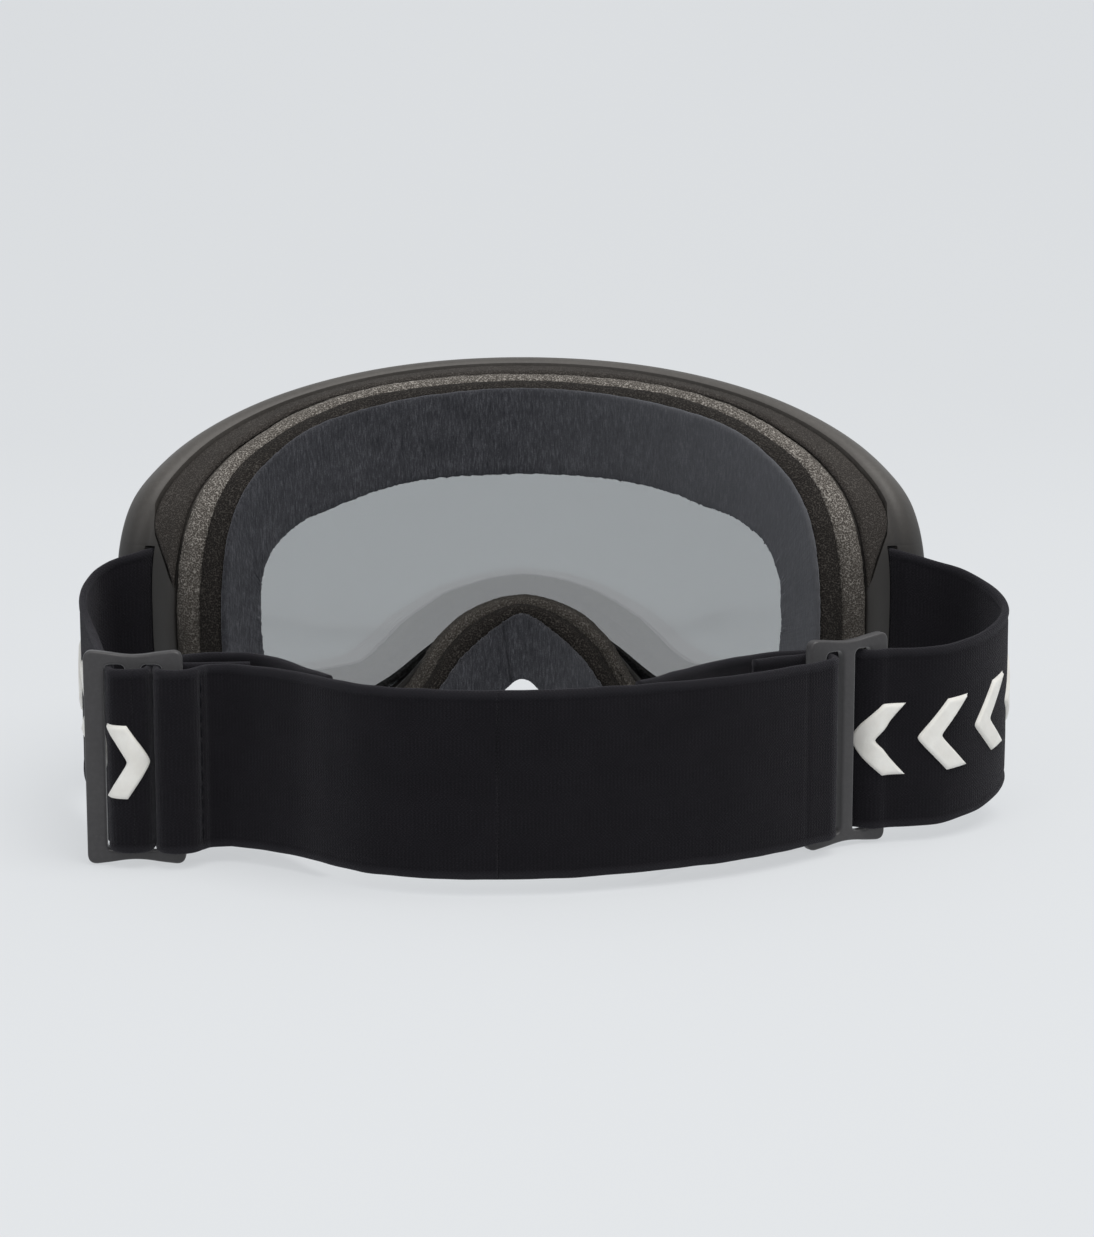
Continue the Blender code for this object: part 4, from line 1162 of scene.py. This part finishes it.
def build_marks(left, right):
    for side, word, starts, stations, line in ((1, "left", MARKS_LEFT, left, LEFT_BLEND),
                                               (-1, "right", MARKS_RIGHT, right, RIGHT_BLEND)):
        for number, start in enumerate(starts):
            on_fold = side > 0 and number == len(starts) - 1
            lean, stroke = MARK_ON_FOLD if on_fold else (MARK_LEAN, MARK_STROKE)
            obj = mark("print_%s_%d" % (word, number + 1), stations, start, side, lean, stroke,
                       "mark_%s_%d" % (word, number + 1))
            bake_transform(obj)


# ------------------------------------------------------------ scene and light
CAMERA_AT = (-5.9, 685.6, 182.8)
CAMERA_DOWN = 11.0          # degrees
CAMERA_LENS = 108.592       # mm, on a sensor 36 mm wide


def build_stage():
    """Pale floor that sweeps up into a wall on the lens side."""
    radius = 0.9
    back = -1.5
    profile = [(3.0, 0.0), (1.0, 0.0), (0.2, 0.0), (back + radius, 0.0)]
    for k in range(1, 25):
        a = math.pi / 2 * k / 24
        profile.append((back + radius - radius * math.sin(a), radius - radius * math.cos(a)))
    profile.append((back, 4.0))
    verts = []
    for y, z in profile:
        verts += [Vector((-4.0, y, z)), Vector((4.0, y, z))]
    faces = [(2 * i, 2 * i + 1, 2 * i + 3, 2 * i + 2) for i in range(len(profile) - 1)]
    mesh = bpy.data.meshes.new("studio_floor")
    mesh.from_pydata([tuple(v) for v in verts], [], faces)
    mesh.shade_smooth()
    obj = bpy.data.objects.new("studio_floor", mesh)
    bpy.context.scene.collection.objects.link(obj)
    mesh.materials.append(floor_material())


def area_light(name, at, aim, size, power, colour=(1, 1, 1)):
    data = bpy.data.lights.new(name, "AREA")
    data.shape = "RECTANGLE"
    data.size, data.size_y = size
    data.energy = power
    data.color = colour
    obj = bpy.data.objects.new(name, data)
    obj.location = at
    obj.rotation_euler = (Vector(aim) - Vector(at)).to_track_quat("-Z", "Y").to_euler()
    bpy.context.scene.collection.objects.link(obj)


def build_light():
    world_data = bpy.data.worlds.new("studio")
    world_data.use_nodes = True
    bg = world_data.node_tree.nodes["Background"]
    bg.inputs["Color"].default_value = (0.93, 0.96, 1.0, 1.0)
    bg.inputs["Strength"].default_value = 0.52
    bpy.context.scene.world = world_data
    bpy.context.scene.view_settings.view_transform = "Standard"
    area_light("key", (-0.35, 0.30, 1.30), (0, 0, 0.04), (1.1, 1.1), 14.0, (1.0, 0.985, 0.96))
    area_light("fill", (0.9, 1.1, 0.8), (0, 0, 0.04), (0.9, 0.9), 3.0)


def build_camera():
    """Long lens behind the goggles, looking a little down through them."""
    data = bpy.data.cameras.new("camera")
    data.sensor_fit = "HORIZONTAL"
    data.sensor_width = 36.0
    data.lens = CAMERA_LENS
    data.clip_start = 0.01
    obj = bpy.data.objects.new("camera", data)
    obj.location = world(*CAMERA_AT)
    obj.rotation_euler = (math.radians(90 - CAMERA_DOWN), 0.0, math.radians(180))
    bpy.context.scene.collection.objects.link(obj)
    bpy.context.scene.camera = obj


build_camera()
build_stage()
build_light()
build_frame()
build_lenses()
build_vent_foam()
build_foams()
build_fleece()
LEFT, RIGHT = build_straps()
build_marks(LEFT, RIGHT)
slider("slider_left_plate", SLIDER_L_AT, 0.0, "slider_left", "slider_left")
slider("slider_right_plate", SLIDER_R_AT, SLIDER_R_TURN, "slider_right", "slider_right")

# The strap stands clear of what the polished panes mirror.
for obj in bpy.data.objects:
    if obj.name.startswith(("webbing_", "print_", "slider_", "loop_stitches_")):
        obj.visible_glossy = False
